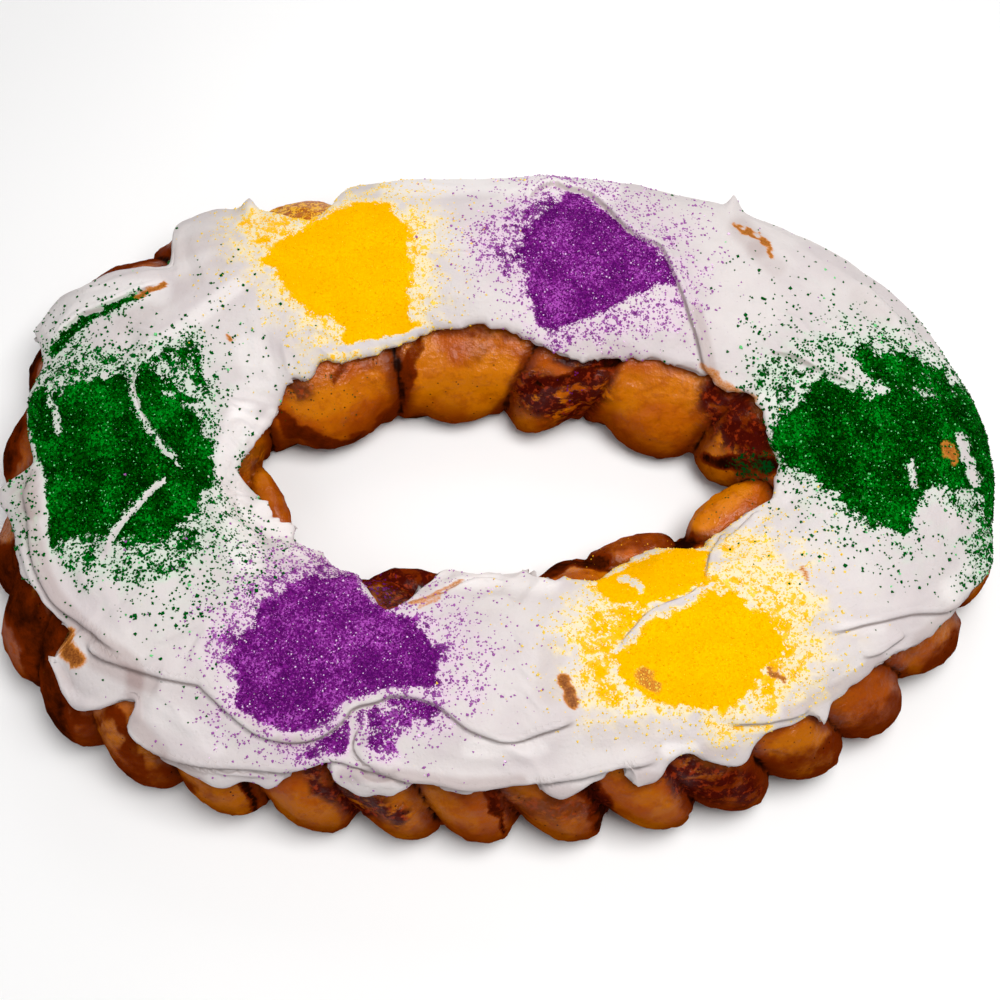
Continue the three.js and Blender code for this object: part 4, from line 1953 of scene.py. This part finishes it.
CRUST_ROLLS = (
    Roll((592, 574), (660, 552), 9), Roll((706, 538), (756, 499), 10.5, 21),
    Roll((374, 592), (428, 588), 8), Roll((286, 224), (314, 225), 8.5, 22),
    Roll((253, 468), (284, 528), 5.5, 18),
)
CRUST_STREAKS = {
    Bake.CINNAMON: streaks(
        (24, 1, 532, 392, 560, 405, 580, 395, 592, 378), (10, 1, 560, 356, 585, 362),
        (26, 1, 720, 400, 735, 425, 748, 440), (10, 1, 308, 768, 318, 785, 330, 800),
        (13, 1, 335, 795, 365, 806, 398, 812), (20, 1, 668, 768, 700, 780, 742, 790),
        (12, 0.6, 500, 800, 560, 812, 600, 800),
        (18, 1, 370, 580, 392, 582, 396, 600, 420, 574), (10, 0.6, 245, 470, 258, 455),
        (12, 0.8, 290, 384, 300, 392),
    ),
    # burnt patches, and painted shade on the left end, in gaps between the lobes and under the icing's far
    # lip
    Bake.BURNT: streaks(
        (22, 0.5, 712, 398, 735, 415, 756, 450),
        (9, 0.5, 80, 279, 110, 268, 144, 258, 170, 252, 199, 240),
        (16, 0.8, 35, 342, 25, 370, 17, 400, 10, 440, 3, 468),
        (22, 0.78, 10, 560, 18, 600, 30, 630, 48, 640, 62, 630),
        (16, 0.82, 34, 650, 44, 690, 60, 735, 88, 770, 130, 790),
        (8, 0.6, 60, 650, 80, 720, 118, 715, 128, 740, 140, 770),
        (8, 0.75, 418, 345, 408, 375, 398, 408, 372, 434, 340, 446, 300, 436, 280, 418),
        (5, 0.6, 330, 376, 344, 372), (5, 1, 245, 783, 252, 805, 258, 826),
        (5, 1, 490, 788, 496, 808, 502, 828), (12, 0.95, 585, 785, 598, 800, 606, 825),
        (6, 1, 530, 388, 565, 380, 600, 366, 618, 362),
        (9, 1, 710, 462, 740, 464, 772, 466), (9, 1, 672, 538, 684, 546, 694, 540),
        (22, 0.7, 366, 572, 400, 565, 432, 568),
        (8, 0.4, 420, 334, 470, 329, 525, 338, 560, 352),
        (22, 0.55, 700, 800, 780, 770, 860, 740, 930, 690, 980, 620),
        (9, 0.9, 546, 572, 575, 562, 600, 562),
        (16, 0.5, 90, 740, 130, 775, 180, 790),
        (12, 0.4, 585, 560, 620, 546, 655, 540),
    ),
    # paler crust, and painted highlights on the tops of some lobes
    Bake.PALE: streaks(
        (14, 1, 785, 745, 810, 738), (18, 1, 425, 350, 440, 380, 480, 395, 500, 370),
        (20, 1, 610, 395, 650, 385, 690, 390), (14, 1, 305, 405, 330, 402, 370, 385),
        (9, 0.6, 100, 720, 110, 750), (10, 1, 225, 800, 240, 815),
        (10, 1, 285, 795, 300, 810, 330, 825), (12, 0.7, 430, 800, 470, 820),
        (10, 0.8, 645, 795, 660, 805), (22, 1, 276, 208, 300, 203, 322, 208),
        (12, 0.8, 700, 520, 740, 492), (13, 0.8, 252, 460, 274, 508),
    ),
    Bake.GREEN_DUST: streaks(
        (40, 0.12, 305, 400, 335, 395), (14, 0.6, 738, 464, 765, 466),
        (26, 0.12, 710, 510, 765, 490),
    ),
    Bake.PURPLE_DUST: streaks(
        (20, 0.42, 362, 572, 378, 590), (14, 0.25, 570, 380, 585, 395, 575, 420),
    ),
    Bake.GOLD_DUST: streaks(
        (14, 0.6, 276, 210, 300, 209, 322, 212),
        (16, 0.12, 585, 560, 620, 546, 655, 538),
    ),
}
OUTER_EDGE = Edge((
    EdgeRun(line(199, 240, 190, 252, 180, 262, 168, 265, 144, 266, 120, 269, 104, 274, 88, 281, 70, 291,
        55, 302, 45, 310, 38, 318, 36, 328, 38, 341, 40, 352, 41, 365, 35, 378, 28, 390, 25, 405, 24, 415,
        28, 443, 30, 462, 12, 478, 1, 496, 7, 520, 12, 535, 18, 568, 25, 579, 35, 590, 48, 607, 68, 624,
        84, 641, 88, 652, 80, 670, 64, 668, 51, 658, 50, 668, 58, 688, 66, 703, 78, 712, 95, 709, 110, 702,
        124, 697, 131, 700, 132, 713, 122, 729, 130, 734, 152, 752, 183, 773, 208, 788, 221, 791, 240, 783,
        256, 786, 266, 791, 280, 780, 286, 772, 300, 769, 315, 765, 328, 761, 329, 784, 340, 788, 360, 800,
        378, 796, 392, 796, 402, 789, 415, 783, 432, 784, 460, 794, 480, 789, 520, 785, 541, 783, 544, 796,
        560, 802, 577, 793, 594, 779, 615, 771, 638, 766, 639, 785, 649, 788, 657, 784, 668, 764, 680, 759,
        697, 756, 705, 765, 727, 768, 744, 765, 753, 747, 768, 734, 797, 723, 812, 709, 818, 713, 826, 724,
        832, 705, 843, 697, 862, 678, 890, 660, 915, 648, 938, 630, 962, 608, 976, 589, 991, 571,
        998, 552)),
    EdgeRun(line(236, 222, 249, 214, 262, 212, 278, 213, 295, 218, 310, 218, 325, 213, 345, 204, 362, 196)),
), inset=5.5, waver=3, tear=0.55)
INNER_EDGE = Edge((
    EdgeRun(line(276, 517, 271, 510, 267, 504, 256, 492, 244, 478, 240, 471, 250, 455, 262, 437, 276, 418,
        281, 405, 285, 395, 288, 383, 300, 379, 308, 379, 315, 372, 322, 363, 345, 361, 380, 352, 400, 345,
        420, 337, 440, 329, 460, 327, 480, 325, 500, 328, 520, 335, 533, 341, 549, 347, 562, 354, 575, 356,
        585, 361, 600, 358, 620, 359, 650, 358, 668, 361, 680, 366, 692, 369, 706, 374, 716, 384, 726, 392,
        738, 392, 750, 395, 762, 412, 766, 437, 776, 463, 772, 480, 768, 500)),
    EdgeRun(line(768, 500, 750, 509, 730, 522, 712, 535, 695, 546, 672, 546, 657, 547, 640, 552, 625, 560,
        610, 567, 597, 576, 575, 576, 561, 573)),
    EdgeRun(line(561, 573, 552, 580, 530, 574, 511, 569, 477, 574, 448, 567), 1.5),
    EdgeRun(line(448, 567, 440, 570, 428, 581, 414, 593, 399, 604, 385, 607, 368, 590, 358, 572)),
    EdgeRun(line(358, 572, 333, 566, 319, 552, 317, 540, 301, 543, 288, 530, 276, 517), 3),
), inset=6, waver=2.5, tear=0.22, inside=True)
# each lap's line, then its rise, gentle side, steep side, groove, overhang and fading ends
FOLDS = (
    # the two short laps of the left end and the lap behind its sugar
    Fold(line(165, 282, 155, 285, 142, 290, 130, 295, 115, 302, 100, 309, 85, 314, 75, 322, 65, 331,
        55, 341, 45, 352), 1.8),
    Fold(line(255, 258, 240, 275, 220, 292, 205, 304, 190, 316, 170, 330, 150, 342, 134, 352), 1.8, 12, 7,
        0, 0),
    Fold(line(160, 338, 150, 347, 138, 358, 133, 370, 132, 385, 135, 398, 141, 415, 150, 428, 158, 438,
        165, 447, 178, 460, 186, 470), 1.5, 3.2, 1.2, 0.3, 0.3),
    Fold(line(163, 482, 150, 492, 140, 503, 128, 515, 118, 528, 110, 540, 104, 556), 1.2, 3, 2, 0.1, 0),
    # the long lap along the near left, the plies in it and the tongue under it
    Fold(line(577, 719, 560, 725, 540, 731, 520, 738, 505, 739, 490, 735, 470, 727, 455, 716, 440, 704,
        425, 698, 405, 694, 390, 694, 375, 700, 360, 703, 350, 708, 343, 717, 332, 727, 318, 735, 300, 739,
        280, 738, 262, 733, 250, 726, 235, 714, 220, 701, 207, 689, 200, 683, 185, 680, 165, 676, 148, 671,
        128, 665, 115, 661, 102, 656, 92, 649, 84, 640), 2.3, 5, 1.2, 0.6, 0.8, 0.03),
    Fold(line(130, 658, 120, 651, 108, 642, 92, 629, 78, 618, 64, 608, 55, 598, 48, 586, 42, 574, 37, 560,
        34, 545, 33, 525, 33, 500, 33, 480, 33, 464), 2.3, 4.5, 1.3, 0.6, 0.7, 0.14),
    Fold(line(60, 617, 50, 607, 42, 596, 35, 582, 29, 566, 24, 550, 20, 535), 1.4, 2.4, 2, 0.3, 0.3, 0.2),
    Fold(line(284, 775, 265, 776, 240, 774, 215, 771, 195, 768, 175, 762, 155, 754, 142, 747), 0.9, 2, 1,
        0.3, 0.3, 0.2),
    Fold(line(52, 664, 58, 676, 64, 689, 72, 699, 84, 704, 98, 704), 1.5, 2.5, 2, 0.3, 0.3),
    Fold(line(104, 570, 107, 588, 113, 606, 121, 624, 130, 640), 0.9, 3.5, 3, 0, 0),
    # the crest of the near rim, the curl on it and the ply under it
    Fold(line(660, 760, 630, 765, 600, 770, 580, 775, 550, 779, 520, 782, 500, 785, 470, 786, 440, 782,
        410, 779, 380, 771, 360, 766, 340, 759, 328, 759, 305, 767, 280, 769, 250, 766, 215, 764, 180, 758,
        160, 751, 140, 741, 122, 729), 1.9, 4, 1.3, 0.7, 0.6, 0.04),
    Fold(line(400, 770, 385, 767, 375, 763, 365, 758, 358, 750, 357, 742, 362, 731, 372, 722), 1.8, 2.6,
        1.2, 0.5, 0.7),
    Fold(line(352, 765, 358, 773, 365, 780, 380, 784, 400, 781), 1.2, 3),
    # the laps of the right half
    Fold(line(712, 385, 705, 361, 701, 344, 694, 322, 684, 291, 671, 263, 662, 246, 640, 235, 625, 224,
        608, 207, 588, 194, 569, 190, 553, 185, 536, 190, 523, 203), 2.2, 6, 1.2, 0.5, 0.8, 0.06),
    Fold(line(880, 397, 860, 386, 848, 380, 822, 370, 803, 360, 785, 353, 770, 352, 757, 357), 1.6, 6, 1.6,
        0.2, 0.4, 0.3),
    Fold(line(968, 596, 950, 606, 940, 610, 915, 611, 900, 614, 880, 619, 865, 622, 840, 629, 825, 632),
        2, 6),
    Fold(line(905, 632, 880, 650, 860, 655), 1.3, 4),
    Fold(line(618, 650, 630, 637, 638, 628, 645, 620, 655, 612, 668, 607, 680, 602, 692, 596, 700, 590,
        710, 586), 1.8, 2.4),
    Fold(line(707, 582, 710, 572, 712, 560, 716, 550, 722, 540, 725, 533), 1.4, 4),
    Fold(line(812, 706, 795, 714, 780, 717, 765, 720, 740, 721, 725, 722), 1.6, 5),
    Fold(line(850, 278, 870, 293, 885, 308, 905, 330, 920, 343, 935, 355, 950, 370, 960, 385), 1.2, 4),
    Fold(line(910, 460, 914, 480, 917, 485), 1.2, 2),
    Fold(line(399, 608, 438, 598, 462, 586, 487, 581, 506, 582), 1.2, 5),
    Fold(line(725, 545, 745, 525, 760, 510), 0.8, 5), Fold(line(134, 694, 135, 706, 137, 722), 1, 4, 2),
)
PULLS = (
    Pull((249, 212), (249, 199), 7), Pull((735, 206), (735, 190), 7), Pull((14, 495), (2, 497), 14),
    Pull((58, 666), (49, 657), 5), Pull((640, 782), (636, 787), 6), Pull((825, 716), (825, 724), 3),
)
# each field's outline, then its strength, border, spray and raggedness
PATCHES = {
    Hue.GREEN: (
        # the green field of the left end
        Patch(loop(30, 395, 60, 385, 80, 378, 100, 373, 128, 372, 150, 373, 165, 393, 190, 405, 205, 430,
            212, 460, 215, 480, 205, 495, 195, 515, 165, 533, 135, 535, 105, 535, 75, 538, 50, 532, 40, 480,
            30, 445, 25, 415), 1, 3, 6, 2.2),
        Patch(loop(48, 532, 105, 532, 140, 536, 200, 525, 196, 560, 165, 585, 130, 585, 95, 582, 60, 565),
            0.42, 4, 8, 3),
        Patch(loop(50, 358, 90, 350, 132, 350, 132, 374, 100, 375, 60, 388, 40, 392), 0.4, 3, 5, 2),
        Patch(loop(50, 346, 60, 333, 75, 320, 100, 306, 135, 292, 137, 298, 103, 315, 82, 328, 66, 344,
            54, 358), 0.95, 1, 1.3, 0.7),
        Patch(loop(138, 372, 152, 353, 174, 343, 200, 343, 204, 368, 206, 400, 188, 404, 164, 390,
            150, 376), 0.74, 1.5, 3, 1.6),
        Patch(loop(208, 395, 228, 388, 232, 420, 240, 442, 226, 446, 214, 430), 0.12, 3, 4, 2),
        Patch(loop(190, 525, 214, 500, 240, 508, 252, 540, 262, 580, 236, 612, 204, 596), 0.11, 4, 6, 3),
        Patch(loop(10, 490, 24, 500, 34, 540, 40, 560, 24, 555, 12, 525), 0.12, 2, 3, 1),
        # the green field of the right end
        Patch(loop(820, 377, 845, 384, 870, 396, 890, 392, 905, 388, 930, 398, 955, 402, 980, 412, 996, 432,
            1000, 470, 998, 540, 985, 500, 965, 488, 935, 492, 918, 508, 914, 530, 908, 541, 885, 525,
            855, 510, 825, 488, 800, 470, 780, 458, 768, 445, 775, 432, 790, 414, 805, 394), 1, 2.8, 6,
            2),
        Patch(loop(850, 352, 880, 350, 910, 355, 940, 370, 965, 388, 990, 412, 985, 425, 950, 402, 905, 388,
            880, 388, 862, 376), 0.9, 2, 5, 2),
        Patch(loop(757, 362, 780, 356, 806, 372, 800, 390, 785, 405, 765, 400, 752, 385), 0.5, 3, 5, 2.6),
        Patch(loop(800, 335, 850, 325, 900, 335, 950, 372, 900, 362, 850, 356, 812, 352), 0.28, 4, 8, 3),
        Patch(loop(955, 500, 985, 503, 999, 545, 995, 575, 975, 585, 965, 545), 0.45, 3, 5, 2),
        Patch(loop(700, 240, 790, 270, 860, 310, 800, 340, 740, 320), 0.02, 5, 10, 3),
        Patch(loop(790, 480, 850, 525, 905, 560, 880, 590, 820, 560, 780, 520), 0.05, 5, 8, 3),
        Patch(loop(210, 270, 260, 300, 290, 380, 250, 400, 215, 360, 190, 310), 0.035, 5, 8, 3),
        Patch(loop(215, 460, 245, 480, 300, 560, 240, 620, 150, 640, 190, 560), 0.07, 5, 8, 3),
    ),
    Hue.PURPLE: (
        # the purple field of the near side
        Patch(loop(235, 676, 232, 649, 249, 625, 268, 596, 298, 581, 324, 571, 356, 579, 372, 600, 385, 610,
            409, 615, 428, 637, 438, 656, 436, 681, 419, 692, 390, 690, 365, 698, 341, 708, 322, 727,
            300, 734, 273, 731, 249, 717, 235, 705), 1, 2.6, 6.5, 2),
        Patch(loop(225, 600, 262, 570, 310, 555, 345, 566, 300, 590, 262, 612, 240, 650, 226, 660,
            212, 640), 0.33, 4, 7, 3),
        Patch(loop(318, 728, 340, 714, 362, 722, 356, 745, 345, 757, 320, 758, 300, 764, 298, 752,
            312, 744), 0.8, 2, 4, 1.6),
        Patch(loop(368, 715, 400, 705, 440, 700, 444, 716, 410, 730, 396, 750, 376, 756, 366, 738), 0.7, 2,
            4, 1.8),
        Patch(loop(385, 696, 430, 694, 446, 700, 440, 712, 400, 712), 0.6, 2, 3, 1),
        Patch(loop(436, 605, 468, 606, 496, 640, 498, 690, 470, 712, 440, 694), 0.17, 5, 8, 3),
        # the purple field of the far side
        Patch(loop(566, 192, 583, 195, 597, 203, 612, 215, 629, 230, 648, 245, 662, 254, 676, 272, 681, 282,
            660, 288, 636, 297, 608, 311, 575, 326, 553, 333, 540, 330, 530, 310, 524, 288, 521, 262,
            522, 240, 532, 220, 548, 205), 1, 2.4, 5, 1.6),
        Patch(loop(530, 200, 555, 190, 575, 192, 560, 205, 545, 218, 524, 240, 505, 240, 495, 225,
            505, 210), 0.5, 3, 5, 2.4),
        Patch(loop(476, 240, 500, 236, 522, 242, 522, 262, 505, 270, 480, 258), 0.5, 3, 5, 2),
        Patch(loop(560, 330, 600, 318, 640, 300, 670, 290, 688, 300, 694, 325, 660, 335, 610, 340,
            570, 345), 0.3, 4, 5, 3),
        Patch(loop(610, 195, 640, 196, 660, 210, 700, 222, 680, 240, 655, 225, 625, 212), 0.16, 4, 6, 3),
    ),
    Hue.GOLD: (
        # the gold field of the far side
        Patch(loop(300, 228, 320, 218, 340, 209, 356, 203, 375, 200, 392, 206, 402, 220, 408, 240, 410, 270,
            409, 305, 416, 326, 404, 334, 375, 342, 345, 350, 334, 356, 342, 336, 344, 326, 325, 318,
            308, 314, 297, 304, 284, 286, 273, 271, 260, 260, 273, 243, 288, 234), 1, 2.2, 6, 1.3),
        Patch(loop(240, 215, 275, 210, 310, 208, 300, 224, 275, 240, 250, 245), 0.55, 3, 6, 2.4),
        Patch(loop(408, 220, 425, 225, 432, 260, 428, 300, 424, 325, 408, 325), 0.4, 3, 7, 2.4),
        Patch(loop(300, 316, 340, 322, 336, 344, 318, 350, 306, 335), 0.35, 3, 5, 2),
        # the gold field of the near side
        Patch(loop(597, 578, 615, 571, 635, 562, 655, 553, 695, 548, 715, 544, 710, 562, 706, 575, 692, 590,
            668, 601, 640, 606, 615, 606, 602, 595), 0.97, 1.8, 4, 1.4),
        Patch(loop(632, 640, 648, 622, 680, 606, 712, 592, 740, 592, 748, 606, 768, 616, 782, 634, 784, 650,
            770, 660, 762, 676, 752, 690, 740, 704, 712, 712, 680, 706, 650, 698, 626, 692, 613, 675,
            620, 656), 1, 2.4, 6, 1.6),
        Patch(loop(576, 612, 606, 600, 640, 608, 634, 640, 615, 668, 618, 700, 592, 696, 574, 655), 0.62, 4,
            6, 3),
        Patch(loop(716, 548, 760, 540, 800, 575, 820, 640, 800, 700, 765, 712, 768, 650, 745, 605), 0.46, 5,
            9, 3.4),
        Patch(loop(722, 722, 770, 722, 768, 734, 724, 736), 0.5, 1.2, 2.5, 1),
    ),
}
WIPED = streaks(
    (4, 0.7, 50, 402, 55, 412, 58, 432), (8, 0.45, 162, 368, 178, 376, 196, 392),
    (1.7, 0.9, 134, 372, 134, 392, 145, 422, 160, 444, 180, 466),
    (3, 0.9, 163, 481, 150, 492, 140, 503, 122, 523, 110, 540, 104, 556),
    (6, 0.9, 37, 468, 40, 500, 43, 540, 48, 570, 66, 592, 95, 616, 130, 640),
    (5, 0.9, 347, 711, 362, 706, 378, 700), (4, 0.9, 352, 722, 354, 745, 364, 760),
    (4, 0.8, 622, 578, 636, 584, 640, 590), (6, 0.9, 960, 438, 968, 460, 976, 482),
    (9, 0.85, 935, 512, 950, 520, 968, 528),
    (3.5, 0.8, 848, 372, 864, 380, 880, 390),
    (1.9, 0.9, 616, 652, 636, 628, 655, 611, 690, 597, 712, 584),
    (11, 0.75, 240, 400, 230, 430, 226, 470, 240, 496),
    (2.5, 0.8, 912, 460, 916, 486),
    (4, 0.95, 340, 350, 375, 343, 405, 336, 425, 329),
)
BARE_SPOTS_AND_REFLECTION = streaks(
    (6, 1, 46, 650, 56, 643, 70, 632), (10, 1, 54, 642, 66, 648, 77, 658),
    (3.4, 0.85, 138, 297, 150, 290, 164, 285), (3, 0.8, 227, 337, 230, 340),
    (6, 1, 563, 678, 568, 690, 574, 703), (8, 0.65, 642, 675, 655, 687),
    (3.2, 0.85, 768, 670, 784, 681), (3.2, 0.7, 803, 568, 807, 580),
    (6, 0.85, 946, 446, 954, 458),
    (2.8, 0.85, 734, 226, 748, 232, 764, 240, 772, 256),
    (2.6, 0.6, 409, 604, 432, 596, 462, 580), (2, 0.55, 420, 606, 440, 597),
    # a painted reflection of a gold board, under the edge of a lap
    (5, 0.6, 703, 366, 716, 378, 734, 390, 752, 400),
)
PAINTED_LIGHT_AND_SHADE = streaks(
    # painted light, where the icing is painted lighter
    (17, 0.7, 244, 420, 232, 450, 228, 490, 236, 520, 246, 556),
    (8, 0.6, 272, 416, 258, 440), (14, 0.6, 264, 512, 284, 534, 310, 550),
    (12, 0.5, 390, 184, 450, 184, 530, 182, 610, 190),
    (15, 0.7, 440, 575, 490, 574, 545, 578), (12, 0.5, 772, 425, 768, 400),
    (14, 0.4, 740, 522, 780, 492), (14, 0.4, 955, 590, 985, 562),
    (13, 0.5, 50, 325, 80, 302, 120, 290, 160, 292),
    (16, 0.3, 250, 350, 262, 385, 240, 400), (9, 0.4, 150, 352, 190, 322, 236, 286),
    (9, 0.4, 925, 350, 955, 380), (8, 0.3, 845, 628, 880, 626),
    (14, 0.3, 160, 712, 215, 742), (9, 0.35, 470, 748, 540, 748),
    (8, 0.6, 668, 750, 694, 750),
    # painted shade, where the icing is painted darker
    (8, -0.6, 30, 474, 32, 496, 34, 512), (10, -0.5, 96, 660, 120, 672, 150, 684),
    (5, -0.3, 62, 672, 70, 684), (8, -0.4, 240, 708, 262, 726),
    (14, -0.25, 550, 690, 552, 650), (10, -0.2, 858, 296, 884, 318),
    (10, -0.25, 756, 250, 776, 268),
    (9, -0.55, 20, 490, 34, 540, 52, 592, 92, 636, 132, 664, 134, 690, 134, 720, 160, 752),
    (10, -0.25, 178, 252, 205, 240, 232, 238), (12, -0.4, 740, 228, 758, 246),
    (6, -0.5, 712, 376, 706, 345, 696, 308),
    (9, -0.2, 122, 326, 160, 302, 226, 258), (7, -0.5, 280, 742, 312, 744),
    (8, -0.5, 345, 775, 400, 776, 460, 785, 520, 782),
    (8, -0.35, 545, 790, 575, 795), (8, -0.4, 640, 778, 655, 780),
    (8, -0.45, 165, 762, 198, 778), (8, -0.25, 570, 345, 625, 350),
    (8, -0.4, 920, 640, 950, 615, 968, 600),
    (7, -0.4, 790, 712, 850, 682, 880, 660), (16, -0.2, 600, 735, 640, 730),
    (7, -0.4, 700, 752, 730, 752),
)
SUGARS = (
    (
        SugarGrains(Hue.GREEN, seed=3, across=0.54, loose_growth=0.85, sunk=0.2),
        SugarFinish(
            "green_sugar", deep=paint(0, 30, 0), body=paint(0, 72, 3), bright=paint(0, 124, 22),
            painted_glint=paint(110, 210, 130), loose=paint(0, 84, 22), dust=paint(188, 212, 190),
            across=0.00075, soft=0.2,
        ),
    ),
    (
        SugarGrains(Hue.PURPLE, seed=4, across=0.52, loose_growth=0.5, sunk=0.2),
        SugarFinish(
            "purple_sugar", deep=paint(82, 12, 94), body=paint(116, 24, 124), bright=paint(168, 76, 176),
            painted_glint=paint(246, 205, 246), loose=paint(158, 92, 164), dust=paint(218, 186, 214),
            across=0.00065, soft=0.3,
        ),
    ),
    (
        SugarGrains(Hue.GOLD, seed=6, across=0.46, loose_growth=0.5, sunk=0.6),
        SugarFinish(
            "gold_sugar", deep=paint(244, 174, 0), body=paint(247, 179, 0), bright=paint(250, 184, 0),
            painted_glint=paint(255, 206, 30), loose=paint(248, 208, 84), dust=paint(246, 226, 164),
            across=0.0007, soft=0.3, crowns=0.15,
        ),
    ),
)


def main() -> None:
    """Builds the cake and the studio."""
    logging.basicConfig(level=logging.INFO, format="%(name)s: %(message)s")
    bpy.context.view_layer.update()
    plan = RingPlan()
    braid = Braid(plan, CRUST_STREAKS, CRUST_ROLLS)
    report(braid.build())
    icing = Icing(plan, OUTER_EDGE, INNER_EDGE, FOLDS, PULLS, PATCHES, WIPED, BARE_SPOTS_AND_REFLECTION, PAINTED_LIGHT_AND_SHADE)
    report(icing.build(braid.piece))
    for grains, finish in SUGARS:
        report(grains.build(icing))
        grains.dress(finish)
    braid.dress(CrustFinish())
    icing.dress(IcingFinish(sugars=tuple((grains.hue, finish) for grains, finish in SUGARS)))
    Studio().build()


def report(piece: Piece) -> None:
    """Logs a finished piece and its size.

    Args:
        piece: The piece.
    """
    bpy.context.view_layer.update()
    faces = sum(len(face.vertices) - 2 for face in piece.data.polygons)
    span = " x ".join(f"{1000 * side:.0f}" for side in piece.dimensions)
    LOG.info("%s: %s mm, %d triangles", piece.name, span, faces)


if __name__ == "__main__":
    main()
